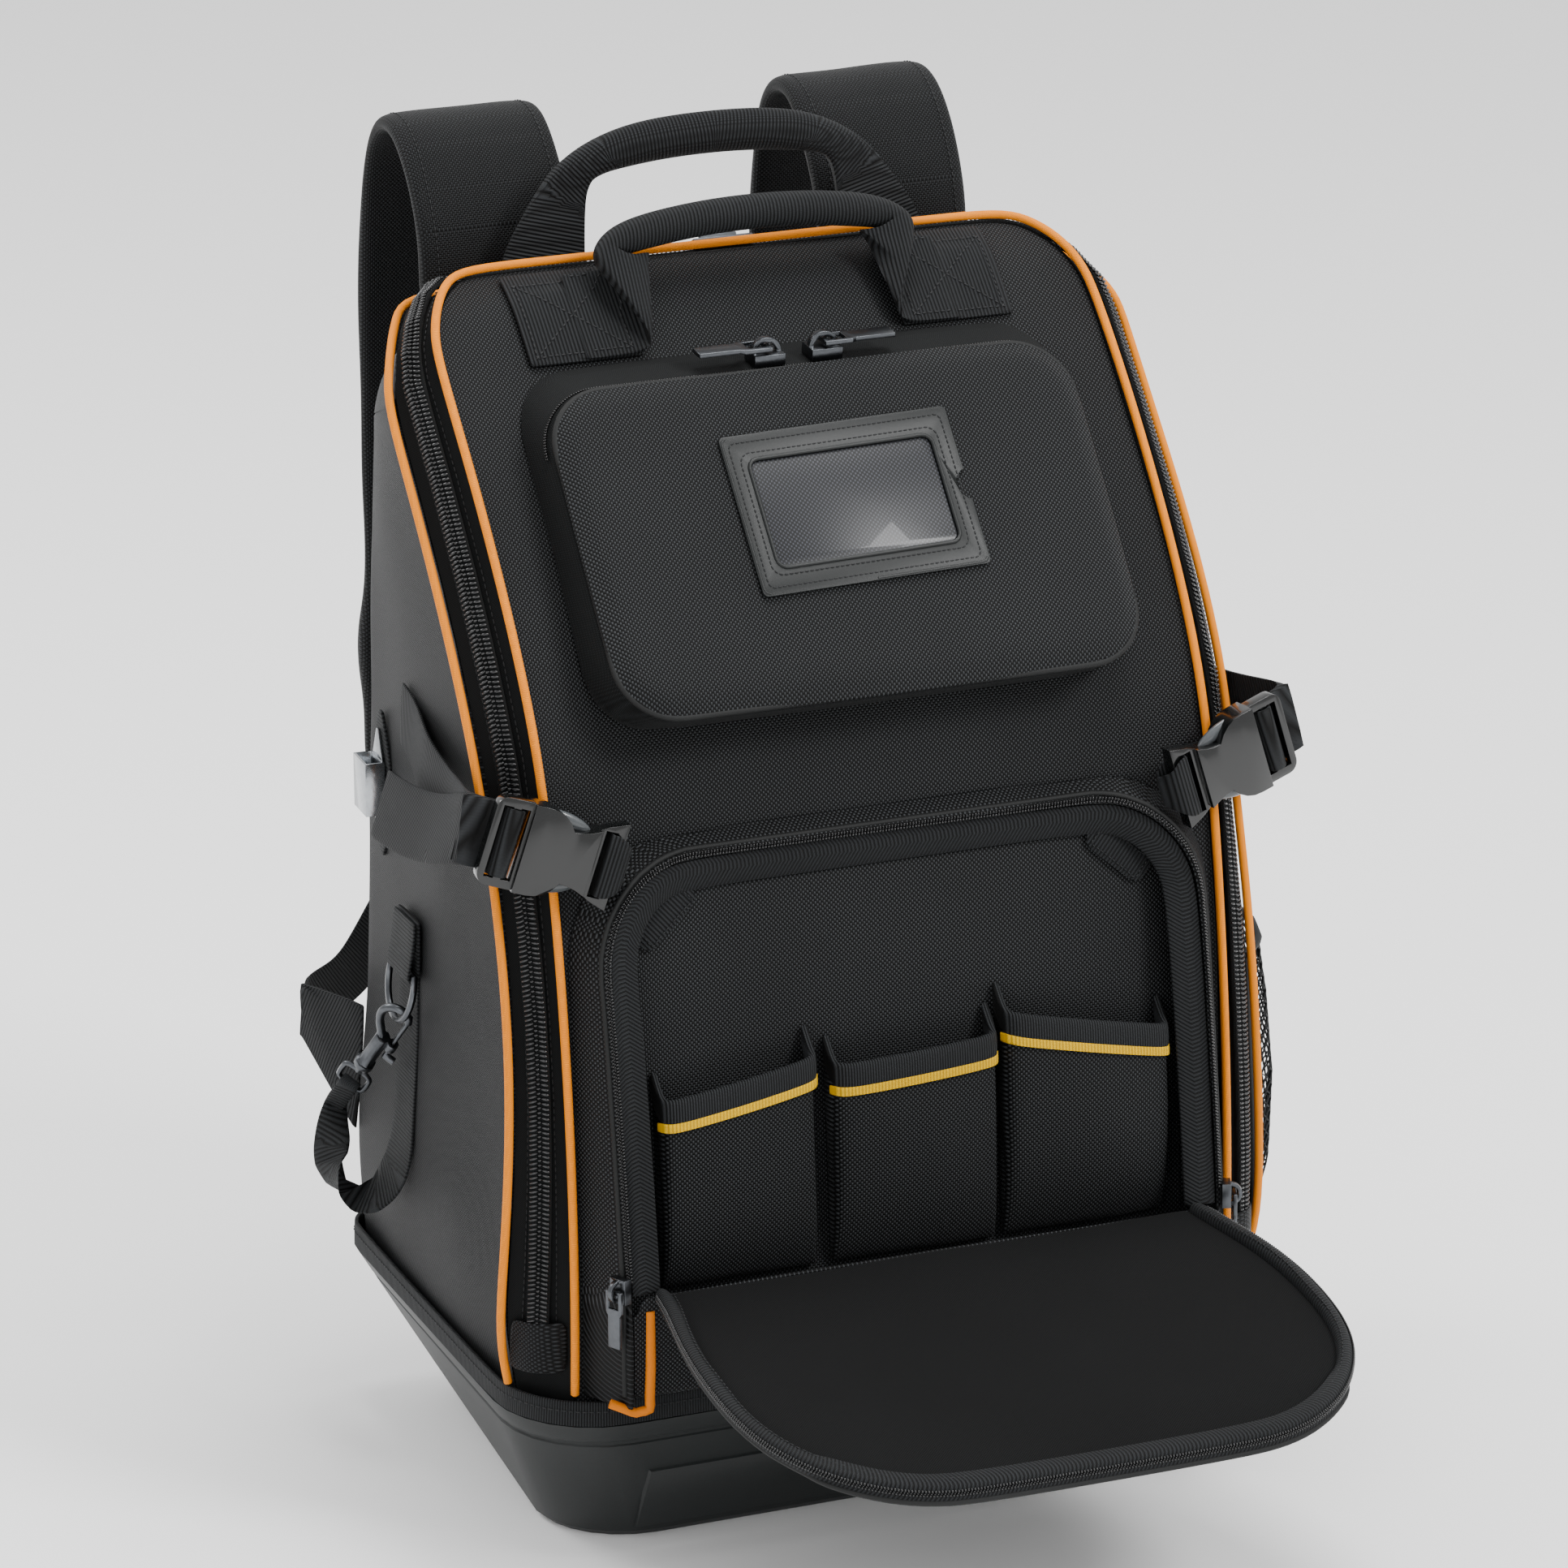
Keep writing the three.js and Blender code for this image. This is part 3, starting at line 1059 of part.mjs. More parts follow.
// The front handle: a patch at each end, and webbing that curls up from it round a core. The
// places are shares of the webbing's width: up the slope and out from it, from the patch's middle.
function frontHandle() {
  const middle = onFront(0, HANDLE.middle, 0);
  const out = frontNormal(HANDLE.middle);
  const up = vec(1, 0, 0).cross(out).negate();
  const rows = [
    { x: 1.25, up: 0, out: 0.03, half: 0.44, thick: 0.014, square: 6, turn: 0 },
    { x: 0.93, up: 0, out: 0.03, half: 0.44, thick: 0.014, square: 6, turn: 0 },
    { x: 0.84, up: 0.01, out: 0.09, half: 0.42, thick: 0.016, square: 5, turn: 0 },
    { x: 0.8, up: 0.05, out: 0.18, half: 0.37, thick: 0.03, square: 4, turn: 0.1 },
    { x: 0.83, up: 0.2, out: 0.25, half: 0.28, thick: 0.05, square: 3, turn: 0.4 },
    { x: 0.94, up: 0.34, out: 0.27, half: 0.18, thick: 0.09, square: 2, turn: 0.8 },
    { x: 1, up: 0.46, out: 0.26, half: 0.15, thick: 0.13, square: 1.4, turn: 1.1 },
    { x: 0.92, up: 0.55, out: 0.28, half: 0.15, thick: 0.15, square: 1, turn: 1.7 },
    { x: 0.76, up: 0.6, out: 0.31, half: 0.17, thick: 0.17, square: 1, turn: 2 },
    { x: 0.5, up: 0.64, out: 0.34, half: 0.17, thick: 0.17, square: 1, turn: 2 },
    { x: 0.25, up: 0.665, out: 0.355, half: 0.17, thick: 0.17, square: 1, turn: 2 },
    { x: 0, up: 0.67, out: 0.36, half: 0.17, thick: 0.17, square: 1, turn: 2 },
  ];
  const points = rows.map((row) => middle.clone().setX(-row.x * HANDLE.half)
    .addScaledVector(up, row.up * WIDE_WEBBING).addScaledVector(out, row.out * WIDE_WEBBING));
  const acrosses = rows.map(({ turn }) => {
    const angle = (turn * Math.PI) / 2;
    return vec(Math.sin(angle), 0, 0).addScaledVector(up, Math.cos(angle));
  });
  const sections = rows.map(({ half, thick, square }) =>
    ({ half: half * WIDE_WEBBING, thick: thick * WIDE_WEBBING, square }));
  const loop = rolled(bothHalves(points, mirrorX),
    bothHalves(acrosses, mirrorX), bothHalves(sections, (section) => section), 8);
  const patch = frontPatch([-HANDLE.patchOuter, -HANDLE.patchInner],
    HANDLE.bottom, HANDLE.top, 2 * GAP, WEBBING);
  return join(loop, patch, mirrored(patch));
}

// The taller haul handle stands on the gusset behind the zip.
function haulHandle() {
  const share = 0.8;
  const top = (loop) => vec(0, loop[LAST / 2].y, loop[LAST / 2].z);
  const foot = top(frontLoop).lerp(top(rearLoop), share).addScaledVector(gussetNormals[LAST / 2], 2 * GAP);
  const footX = (HAUL.footInner + HAUL.footOuter) / 2 / HAUL.half;
  const footHalf = (HAUL.footOuter - HAUL.footInner) / 2;
  const rows = [
    { x: footX, up: 0, back: 0, half: 1, thick: 0.035, square: 6, turn: 0 },
    { x: footX * 0.99, up: 0.22, back: 0.2, half: 0.97, thick: 0.035, square: 6, turn: 0 },
    { x: 1.06, up: 0.5, back: 0.55, half: 0.7, thick: 0.07, square: 4, turn: 0.08 },
    { x: 0.98, up: 0.7, back: 0.85, half: 0.5, thick: 0.13, square: 3, turn: 0.2 },
    { x: 0.9, up: 0.81, back: 0.95, half: 0.42, thick: 0.22, square: 2, turn: 0.42 },
    { x: 0.77, up: 0.89, back: 1, half: 0.42, thick: 0.27, square: 1.5, turn: 0.68 },
    { x: 0.6, up: 0.945, back: 1, half: 0.48, thick: 0.29, square: 1.2, turn: 0.86 },
    { x: 0.4, up: 0.98, back: 1, half: 0.51, thick: 0.29, square: 1, turn: 0.95 },
    { x: 0.2, up: 0.995, back: 1, half: 0.51, thick: 0.29, square: 1, turn: 1 },
    { x: 0, up: 1, back: 1, half: 0.51, thick: 0.29, square: 1, turn: 1 },
  ];
  const points = rows.map((row) =>
    vec(-row.x * HAUL.half, foot.y + row.back * 5, foot.z + row.up * HAUL.height));
  const acrosses = rows.map(({ turn }) =>
    vec(Math.cos((turn * Math.PI) / 2), 0, -Math.sin((turn * Math.PI) / 2)));
  const sections = rows.map(({ half, thick, square }) =>
    ({ half: half * footHalf, thick: thick * footHalf, square }));
  const mirrorAcross = (across) => vec(-across.x, 0, across.z);
  return rolled(bothHalves(points, mirrorX),
    bothHalves(acrosses, mirrorAcross), bothHalves(sections, (section) => section), 8);
}

place("front_handle", frontHandle(), webbingFabric);
place("haul_handle", haulHandle(), webbingFabric);

// The left shoulder strap: out is a share of STRAP_STANDOFF behind the back, rise of STRAP_RISE
// over the top of the body and drop of STRAP_DROP below it.
const STRAP_ROUTE = [
  { out: -0.08, rise: -0.475, drop: 0 },
  { out: -0.1, rise: -0.16, drop: 0 },
  { out: -0.06, rise: 0.16, drop: 0 },
  { out: 0.05, rise: 0.46, drop: 0 },
  { out: 0.19, rise: 0.73, drop: 0 },
  { out: 0.34, rise: 0.89, drop: 0 },
  { out: 0.49, rise: 0.92, drop: 0 },
  { out: 0.65, rise: 0.85, drop: 0 },
  { out: 0.75, rise: 0.64, drop: 0 },
  { out: 0.82, rise: 0.29, drop: 0 },
  { out: 0.88, rise: 0, drop: 0.054 },
  { out: 0.92, rise: 0, drop: 0.24 },
  { out: 0.93, rise: 0, drop: 0.42 },
  { out: 0.91, rise: 0, drop: 0.615 },
  { out: 0.95, rise: 0, drop: 0.78 },
  { out: 0.97, rise: 0, drop: 0.89 },
  { out: 0.96, rise: 0, drop: 1 },
];
const strapPoint = ({ out, rise, drop }, x = -STRAP_MIDDLE) =>
  vec(x, BACK_Y + out * STRAP_STANDOFF, BAG_HEIGHT + rise * STRAP_RISE - drop * STRAP_DROP);

function shoulderStrap() {
  const steps = 24;
  const points = smooth(STRAP_ROUTE.map((row) => strapPoint(row)), steps);
  const plain = { half: STRAP_WIDTH / 2, thick: STRAP_THICKNESS / 2, square: 3 };
  const kept = { half: plain.half + KEEPER.grow, thick: plain.thick + KEEPER.grow / 2, square: 4 };
  const sections = points.map(({ y, z }) =>
    (y > BACK_Y + STRAP_STANDOFF * 0.7 && z < KEEPER.top && z > KEEPER.bottom ? kept : plain));
  return rolled(points, points.map(() => vec(1, 0, 0)), sections, 8);
}

// The wing is sewn into the back seam. Webbing runs from its tip up to the end of the strap.
function strapWing() {
  const root = [WING.bottom, WING.top].map((z) => vec(-backX(z) - GAP, BACK_Y - BACK_ROUND, z));
  const tipZ = lerp(WING.bottom, WING.top, 0.8);
  const tip = [-1, 1].map((side) =>
    vec(root[0].x - WING.spread, BACK_Y - BACK_ROUND + WING.reach, tipZ + side * WING.tipHalf));
  const outward = vec(-WING.reach, -WING.spread, 0).normalize().multiplyScalar(FABRIC);
  const rows = [0, 1].map((end) => [root[end], tip[end]]);
  const wing = sheet(rows.map((row) => row.map((p) => p.clone().add(outward))), rows);
  const end = strapPoint(STRAP_ROUTE[STRAP_ROUTE.length - 1]);
  const middle = tip[0].clone().lerp(tip[1], 0.5).addScaledVector(outward, 0.5);
  const anchor = middle.clone().lerp(root[0].clone().lerp(root[1], 0.6), 0.3);
  const route = smooth([
    anchor,
    middle,
    middle.clone().lerp(end, 0.36).add(vec(0, 7, -28)),
    middle.clone().lerp(end, 0.72).add(vec(0, 9, -34)),
    end.clone().add(vec(0, 0, -22)),
    end.clone().add(vec(0, -0.5, -1.2)),
  ], 14);
  const turns = [vec(0, 0, 1), vec(0, 0, 1), vec(-0.4, 0, 0.9),
    vec(-0.8, 0, 0.6), vec(-1, 0, 0), vec(-1, 0, 0)];
  const acrosses = blendAcross(turns, 14);
  return join(wing, ribbon(route, acrosses, LOWER_WEBBING, WEBBING));
}

const strapMesh = shoulderStrap();
const wingMesh = strapWing();
place("shoulder_strap_left", strapMesh, fabric);
place("shoulder_strap_right", mirrored(strapMesh), fabric);
place("strap_wing_left", wingMesh, fabric);
place("strap_wing_right", mirrored(wingMesh), fabric);

// The left buckle lies across the front seam. Its frame: a along it from the ladder end to the
// mouth, b up across it and c outwards.
const BUCKLE_AT = vec(-187, -99.8, 324);
const buckleA = vec(0.943, -0.112, -0.311).normalize();
const buckleC = vec(-0.122, -0.989, -0.0135).normalize();
const buckleB = buckleC.clone().cross(buckleA).normalize();
buckleC.crossVectors(buckleA, buckleB).normalize();
const buckleFrame = new THREE.Matrix4().makeBasis(buckleA, buckleB, buckleC).setPosition(BUCKLE_AT);
const onBuckle = (a, b, c) => vec(a, b, c).applyMatrix4(buckleFrame);

function buckle() {
  const { length, half, waist, ladder, frame, body, slot, bar, mouth } = BUCKLE;
  const gap = (ladder - 1 - frame / 2 - bar) / 2;
  const opening = (from, to, reach) => moved(box(to - from, 2 * reach, 2 * body), (from + to) / 2, 0, 0);
  const ladderLength = ladder + 4;
  const end = extruded(roundedRectangle(ladderLength, 2 * half, 5), frame);
  const ladderEnd = cut(
    moved(end, ladderLength / 2, 0, -frame / 2),
    opening(frame / 2, frame / 2 + gap, slot),
    opening(frame / 2 + gap + bar, ladder - 1, slot),
  );
  const side = new THREE.Shape();
  side.moveTo(ladder, -half);
  side.lineTo(ladder + 6, -half);
  side.quadraticCurveTo(length * 0.52, -half, length * 0.6, -waist);
  side.quadraticCurveTo(length * 0.72, -waist, length * 0.86, -half * 0.85);
  side.lineTo(length, -half);
  side.lineTo(length, half);
  side.lineTo(length * 0.86, half * 0.85);
  side.quadraticCurveTo(length * 0.72, waist, length * 0.6, waist);
  side.quadraticCurveTo(length * 0.52, half, ladder + 6, half);
  side.lineTo(ladder, half);
  const plate = moved(extruded(side, mouth, 4), 0, 0, -mouth / 2);
  const flat = cut(plate, opening(length - 9.5, length - 4, SIDE_WEBBING / 2 - 0.3));
  const thick = moved(extruded(side, body, 4), 0, 0, -body / 2);
  return join(ladderEnd, flat, cut(thick, opening(length * 0.8, length * 2, 2 * half)))
    .applyMatrix4(buckleFrame);
}

// The side strap is sewn to the side, loops round the buckle's bar and comes back as a free tail.
function sideStrap() {
  const onStrap = [[-10, -7.4], [8, -7], [12.4, -4.4], [12.9, -1],
    [12.6, 2.4], [10.8, 4.1], [7.2, 4.1], [5.5, 2.4],
    [5.1, -1], [4.2, -5], [-10, -5.4]].map(([a, c]) => onBuckle(a, 0, c));
  const start = [onSide(40, 338, 1.4), onSide(20, 334, 1.6), vec(-179, -8, 328), vec(-183, -40, 323)];
  const tail = [vec(-192, -45, 313), vec(-191, -10, 308), vec(-189, 18, 306)];
  const points = [...smooth([...start, onStrap[0]], 8).slice(0, -1),
    ...onStrap, ...smooth([onStrap[10], ...tail], 6).slice(1)];
  const acrosses = points.map((_, i) => (i < 8 ? sideUp(30, 336).lerp(buckleB, i / 8) : buckleB.clone()));
  return ribbon(points, acrosses, SIDE_WEBBING, WEBBING);
}

// Short webbing from the organiser's corner round the bar at the buckle's mouth.
function buckleWebbing() {
  const { length } = BUCKLE;
  const route = [
    { a: 5, c: -6.2, width: 0.5 },
    { a: 2, c: -5.2, width: 0.75 },
    { a: -2, c: -5, width: 1 },
    { a: -6, c: -4.4, width: 1 },
    { a: -6.8, c: -2, width: 1 },
    { a: -6.8, c: 2, width: 1 },
    { a: -6, c: 4.8, width: 1 },
    { a: -2, c: 5.4, width: 1 },
    { a: 2, c: 5.2, width: 0.75 },
    { a: 4.6, c: 0.5, width: 0.6 },
    { a: 5.6, c: -4, width: 0.5 },
  ];
  const points = route.map(({ a, c }) => onBuckle(length + a, 0, c));
  return ribbon(points, points.map(() => buckleB),
    route.map(({ width }) => width * (SIDE_WEBBING - 2)), WEBBING);
}

for (const [name, geometry, material] of [
  ["side_strap", sideStrap(), webbingFabric],
  ["buckle", buckle(), glossPlastic],
  ["buckle_webbing", buckleWebbing(), webbingFabric],
]) {
  place(`${name}_left`, geometry, material);
  place(`${name}_right`, mirrored(geometry), material);
}

// A strap of webbing is sewn flat down the left side, leaves it low down and comes up to the hook.
const LEASH = { y: 35, top: 246, leaves: 150, lift: 1.1, endHalf: 4.5, hem: 20 };

// The hook's frame: a along it up to the ring, b across its loop and c out of the loop.
const ringFoot = vec(-180, 29, 203);
const hookA = vec(0.123, -0.694, 0.709).normalize();
const hookC = hookA.clone().cross(vec(-0.652, 0.482, 0.585)).normalize();
const hookB = hookC.clone().cross(hookA).normalize();
const HOOK = {
  ringSeat: 41.2, shank: 26, barrel: 3.6, bore: 2.4, post: 2, wire: 2, boltWire: 1.1, boltAt: -5.4,
};
const hookFrame = new THREE.Matrix4().makeBasis(hookA, hookB, hookC)
  .setPosition(ringFoot.clone().addScaledVector(hookA, -HOOK.ringSeat));
const onHook = (a, b, c = 0) => vec(a, b, c).applyMatrix4(hookFrame);
const EYE = { top: -4.5, length: 13, half: 7, wire: 1.3 };

// Points round the back of a bar in its own plane, from one side of it to the other.
const roundBar = (radius, from, to, steps) => Array.from({ length: steps + 1 }, (_, k) => {
  const angle = rad(lerp(from, to, k / steps));
  return [radius * Math.cos(angle), radius * Math.sin(angle)];
});

function leash() {
  const along = sideAcross(LEASH.y, LEASH.top);
  const level = vec(0, 1, 0);
  const flat = [LEASH.top, 200, 170, 147].map((z) =>
    ({ at: onSide(LEASH.y, z, LEASH.lift), across: along, width: 1 }));
  const radius = EYE.wire + WEBBING / 2 + 2 * GAP;
  const barA = EYE.top - EYE.length;
  const rows = [
    ...flat,
    { at: onSide(LEASH.y + 2, 131, 4), across: level, width: 1 },
    { at: vec(-185, 43, 120), across: level, width: 1 },
    { at: vec(-192, 52, 116), across: level, width: 1 },
    { at: vec(-198, 63, 124), across: vec(-0.1, 0.9, 0.1), width: 0.9 },
    { at: vec(-196, 70, 134), across: vec(-0.3, 0.8, 0.2), width: 0.65 },
    { at: onHook(barA - LEASH.hem, 0, -radius * 0.7), across: hookB, width: 0.36 },
    { at: onHook(barA - LEASH.hem / 2, 0, -radius * 0.8), across: hookB, width: 0.32 },
  ];
  const perRow = 2;
  const count = (rows.length - 1) * perRow;
  const through = (values) => new THREE.CatmullRomCurve3(values, false, "centripetal");
  const [route, turns] = [through(rows.map((row) => row.at)), through(rows.map((row) => row.across))];
  const round = roundBar(radius, -100, 100, 5).map(([a, c]) => onHook(barA + a, 0, c));
  const hem = onHook(barA - LEASH.hem, 0, WEBBING + 2 * GAP - radius * 0.7);
  const points = [...Array.from({ length: count + 1 }, (_, i) => route.getPoint(i / count)), ...round, hem];
  const acrosses = points.map((_, i) => (i > count ? hookB : turns.getPoint(i / count).normalize()));
  const widths = points.map((_, i) => {
    const row = Math.min(Math.floor(i / perRow), rows.length - 2);
    return LEASH_WEBBING * lerp(rows[row].width, rows[row + 1].width, clamp(i / perRow - row, 0, 1));
  });
  return ribbon(points, acrosses, widths, WEBBING);
}

// The ring's tab: webbing sewn on over the leash, folded round the straight side of the ring.
const RING = { y: 31, half: 18, wire: 1.6, barZ: 225 };
const tabLift = LEASH.lift + WEBBING + GAP;
const ringLift = tabLift + WEBBING / 2 + RING.wire + GAP;

function ringTab() {
  const radius = RING.wire + WEBBING / 2 + GAP;
  const round = roundBar(radius, 270, 90, 5).map(([up, out]) => [RING.barZ + up, ringLift + out]);
  const route = [[LEASH.top + 4, tabLift], ...round, [RING.barZ + 8, tabLift + WEBBING + 2],
    [LEASH.top + 3, tabLift + WEBBING + GAP]];
  const points = route.map(([z, lift]) => onSide(RING.y, z, lift));
  return ribbon(points, points.map(() => sideAcross(RING.y, RING.barZ)), SIDE_WEBBING, WEBBING);
}

// A closed ring of wire through points, with flats for its round section.
function wireLoop(points, radius, sides, normal) {
  const rings = points.map((point, i) => {
    const along = points[(i + 1) % points.length].clone()
      .sub(points[(i + points.length - 1) % points.length]);
    const side = along.cross(normal).normalize();
    return Array.from({ length: sides }, (_, k) => {
      const angle = (k / sides) * 2 * Math.PI;
      return point.clone().addScaledVector(side, radius * Math.cos(angle))
        .addScaledVector(normal, radius * Math.sin(angle));
    });
  });
  return skin(rings, true);
}

function dRing() {
  const bar = onSide(RING.y, RING.barZ, ringLift);
  const down = ringFoot.clone().sub(bar);
  const along = sideAcross(RING.y, RING.barZ);
  const at = (share, fall) =>
    bar.clone().addScaledVector(along, share * RING.half).addScaledVector(down, fall);
  const points = [at(-0.92, 0), at(0, 0), at(0.92, 0)];
  for (let k = 0; k <= 8; k += 1) {
    const angle = (k / 8) * Math.PI;
    points.push(at(Math.cos(angle), 0.25 + 0.75 * Math.sin(angle)));
  }
  return wireLoop(points, RING.wire, 6, down.clone().cross(along).normalize());
}

// A round rod between two places of the hook's frame.
function hookRod(from, to, radius, sides = 8) {
  const start = onHook(...from);
  const end = onHook(...to);
  const rod = new THREE.CylinderGeometry(radius, radius, start.distanceTo(end), sides);
  const turn = new THREE.Quaternion().setFromUnitVectors(vec(0, 1, 0), end.clone().sub(start).normalize());
  return rod.applyQuaternion(turn).translate(...start.lerp(end, 0.5).toArray());
}

function snapHook() {
  const route = [[22, 0], [28, 2], [34, 5.6], [41, 7],
    [46.5, 4.6], [49, 0], [47.6, -4.2], [44.2, HOOK.boltAt]];
  const curve = new THREE.CatmullRomCurve3(route.map(([a, b]) => onHook(a, b)), false, "centripetal");
  const section = new THREE.Shape();
  section.absarc(0, 0, HOOK.wire, 0, 2 * Math.PI, false);
  const loop = new THREE.ExtrudeGeometry(new THREE.Shape(section.getPoints(4).slice(0, -1)),
    { steps: 12, bevelEnabled: false, extrudePath: curve });
  const barrel = hookRod([0.6, 0], [HOOK.shank, 0], HOOK.barrel);
  const collar = hookRod([0.6, 0], [4, 0], HOOK.barrel + 1.2);
  const guide = hookRod([21, HOOK.boltAt], [HOOK.shank, HOOK.boltAt], HOOK.boltWire + 1.6);
  return cut(join(barrel, collar, loop, guide),
    hookRod([0, 0], [9, 0], HOOK.bore),
    hookRod([18, HOOK.boltAt], [HOOK.shank + 3, HOOK.boltAt], HOOK.boltWire + GAP));
}

const hookTrigger = () => join(
  hookRod([14, HOOK.boltAt], [43.2, HOOK.boltAt], HOOK.boltWire),
  hookRod([15.5, HOOK.boltAt + 0.5], [15.5, HOOK.boltAt - 5], 1.8),
);

function hookEye() {
  const middle = EYE.top - EYE.length / 2;
  const points = Array.from({ length: 12 }, (_, k) => {
    const angle = (k / 12) * 2 * Math.PI;
    const squared = (value) => Math.sign(value) * Math.sqrt(Math.abs(value));
    return onHook(middle + (EYE.length / 2) * squared(Math.cos(angle)), EYE.half * squared(Math.sin(angle)));
  });
  const post = hookRod([EYE.top - EYE.wire / 2, 0], [8, 0], HOOK.post);
  return join(wireLoop(points, EYE.wire, 6, hookC), post);
}

place("leash", leash(), webbingFabric);
place("ring_tab", ringTab(), webbingFabric);
place("d_ring", dRing(), gunMetal);
place("snap_hook", snapHook(), gunMetal);
place("hook_trigger", hookTrigger(), gunMetal);
place("hook_eye", hookEye(), gunMetal);

// The tape clip: a steel box open at its top and foot, on a pointed plate and a sewn patch.
const CLIP = {
  y: 76, z: 296, patchHalf: 16, patchTall: 66, depth: 20, proud: 9, tall: 24, sheet: 1.2,
  plateTall: 50, plateHalf: 9,
};

function pointedPlate(half, tall, lift, thickness) {
  const rows = [[tall / 2, 0.12], [tall * 0.2, 1], [-tall * 0.2, 1], [-tall / 2, 0.12]];
  const grid = (out) => rows.map(([rise, share]) =>
    [-1, 1].map((side) => onSide(CLIP.y + side * half * share, CLIP.z + rise, out)));
  return sheet(grid(lift + thickness), grid(lift));
}

function tapeClip() {
  const plateLift = 2 * GAP + WEBBING + GAP;
  const foot = onSide(CLIP.y, CLIP.z, plateLift + CLIP.sheet / 2);
  const shell = cut(
    box(CLIP.proud, CLIP.depth, CLIP.tall),
    box(CLIP.proud - 2 * CLIP.sheet, CLIP.depth - 2 * CLIP.sheet, CLIP.tall * 2),
  );
  const along = onSide(CLIP.y + 1, CLIP.z, 0).sub(onSide(CLIP.y - 1, CLIP.z, 0));
  shell.rotateZ(Math.atan2(-along.x, along.y));
  const outward = vec(-along.y, along.x, 0).normalize();
  const middle = foot.addScaledVector(outward, CLIP.proud / 2 - GAP);
  shell.translate(middle.x, middle.y, middle.z);
  return join(shell, pointedPlate(CLIP.plateHalf, CLIP.plateTall, plateLift, CLIP.sheet));
}

place("clip_patch", pointedPlate(CLIP.patchHalf, CLIP.patchTall, 2 * GAP, WEBBING), webbingFabric);
place("tape_clip", tapeClip(), steel);

// The net pocket of the right side, bulged out between its seams and open at its top.
const NET = { front: -86, back: 94, bottom: 88, top: 218, bulge: 38, lean: 0.42 };

function meshPocket() {
  const columns = [0, 0.1, 0.24, 0.4, 0.58, 0.78, 0.92, 1];
  const rows = [
    { rise: 0, out: 0.04 },
    { rise: 0.06, out: 0.45 },
    { rise: 0.2, out: 0.85 },
    { rise: 0.5, out: 1 },
    { rise: 0.8, out: 0.94 },
    { rise: 1, out: 0.8 },
  ];
  const grid = (lift) => rows.map(({ rise, out }) => columns.map((share) => {
    const z = lerp(NET.bottom, NET.top, rise);
    const skewed = share ** (Math.log(0.5) / Math.log(NET.lean));
    return onSide(lerp(NET.front, NET.back, share), z,
      GAP * 2 + lift + NET.bulge * out * Math.sin(Math.PI * skewed) ** 0.8);
  }));
  return mirrored(sheet(grid(FABRIC), grid(0)));
}

place("mesh_pocket", meshPocket(), fabric);

export default backpack;
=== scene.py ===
"""A tool backpack on its moulded base, with its organiser flap open, dressed in its real cloth,
webbing, zips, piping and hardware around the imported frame."""
import json
import math

import bmesh
import bpy
import numpy as np
from mathutils import Matrix, Vector, noise

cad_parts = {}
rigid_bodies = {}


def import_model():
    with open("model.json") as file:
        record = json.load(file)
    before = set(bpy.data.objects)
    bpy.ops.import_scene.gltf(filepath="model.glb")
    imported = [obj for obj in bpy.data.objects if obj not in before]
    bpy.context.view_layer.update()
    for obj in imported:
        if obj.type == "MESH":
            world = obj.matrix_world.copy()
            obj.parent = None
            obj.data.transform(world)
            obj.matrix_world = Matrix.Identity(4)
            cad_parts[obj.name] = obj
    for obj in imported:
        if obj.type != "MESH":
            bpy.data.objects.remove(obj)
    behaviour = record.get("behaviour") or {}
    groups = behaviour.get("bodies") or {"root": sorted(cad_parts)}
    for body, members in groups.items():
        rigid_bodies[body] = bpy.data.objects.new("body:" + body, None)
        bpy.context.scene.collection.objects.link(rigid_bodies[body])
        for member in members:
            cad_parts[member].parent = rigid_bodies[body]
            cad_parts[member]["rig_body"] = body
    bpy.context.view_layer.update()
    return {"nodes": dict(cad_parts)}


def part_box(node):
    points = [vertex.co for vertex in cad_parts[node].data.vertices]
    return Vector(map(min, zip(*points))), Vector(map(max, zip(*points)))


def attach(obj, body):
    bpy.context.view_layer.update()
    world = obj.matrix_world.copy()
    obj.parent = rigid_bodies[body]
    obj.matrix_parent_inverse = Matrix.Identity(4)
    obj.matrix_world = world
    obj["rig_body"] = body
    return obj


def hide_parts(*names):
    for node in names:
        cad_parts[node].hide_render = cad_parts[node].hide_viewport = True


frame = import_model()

nodes = frame["nodes"]
MM = 0.001

# The camera stands high to the left of the backpack's front and looks at its middle with a
# long lens. A slight roll levels the base as it is seen.
CAMERA_AT = Vector((-1370.7, -3113.0, 1341.3)) * MM
CAMERA_AIM = Vector((43.2, 115.0, 257.2)) * MM
CAMERA_ROLL = -0.41
LENS = 186.6
camera = bpy.data.objects.new("camera", bpy.data.cameras.new("camera"))
camera.data.lens = LENS
camera.data.sensor_width = 36
camera.data.clip_end = 20
look = (CAMERA_AIM - CAMERA_AT).to_track_quat("-Z", "Y").to_matrix().to_4x4()
camera.matrix_world = Matrix.Translation(CAMERA_AT) @ look @ Matrix.Rotation(math.radians(CAMERA_ROLL), 4, "Z")
bpy.context.scene.collection.objects.link(camera)
bpy.context.scene.camera = camera


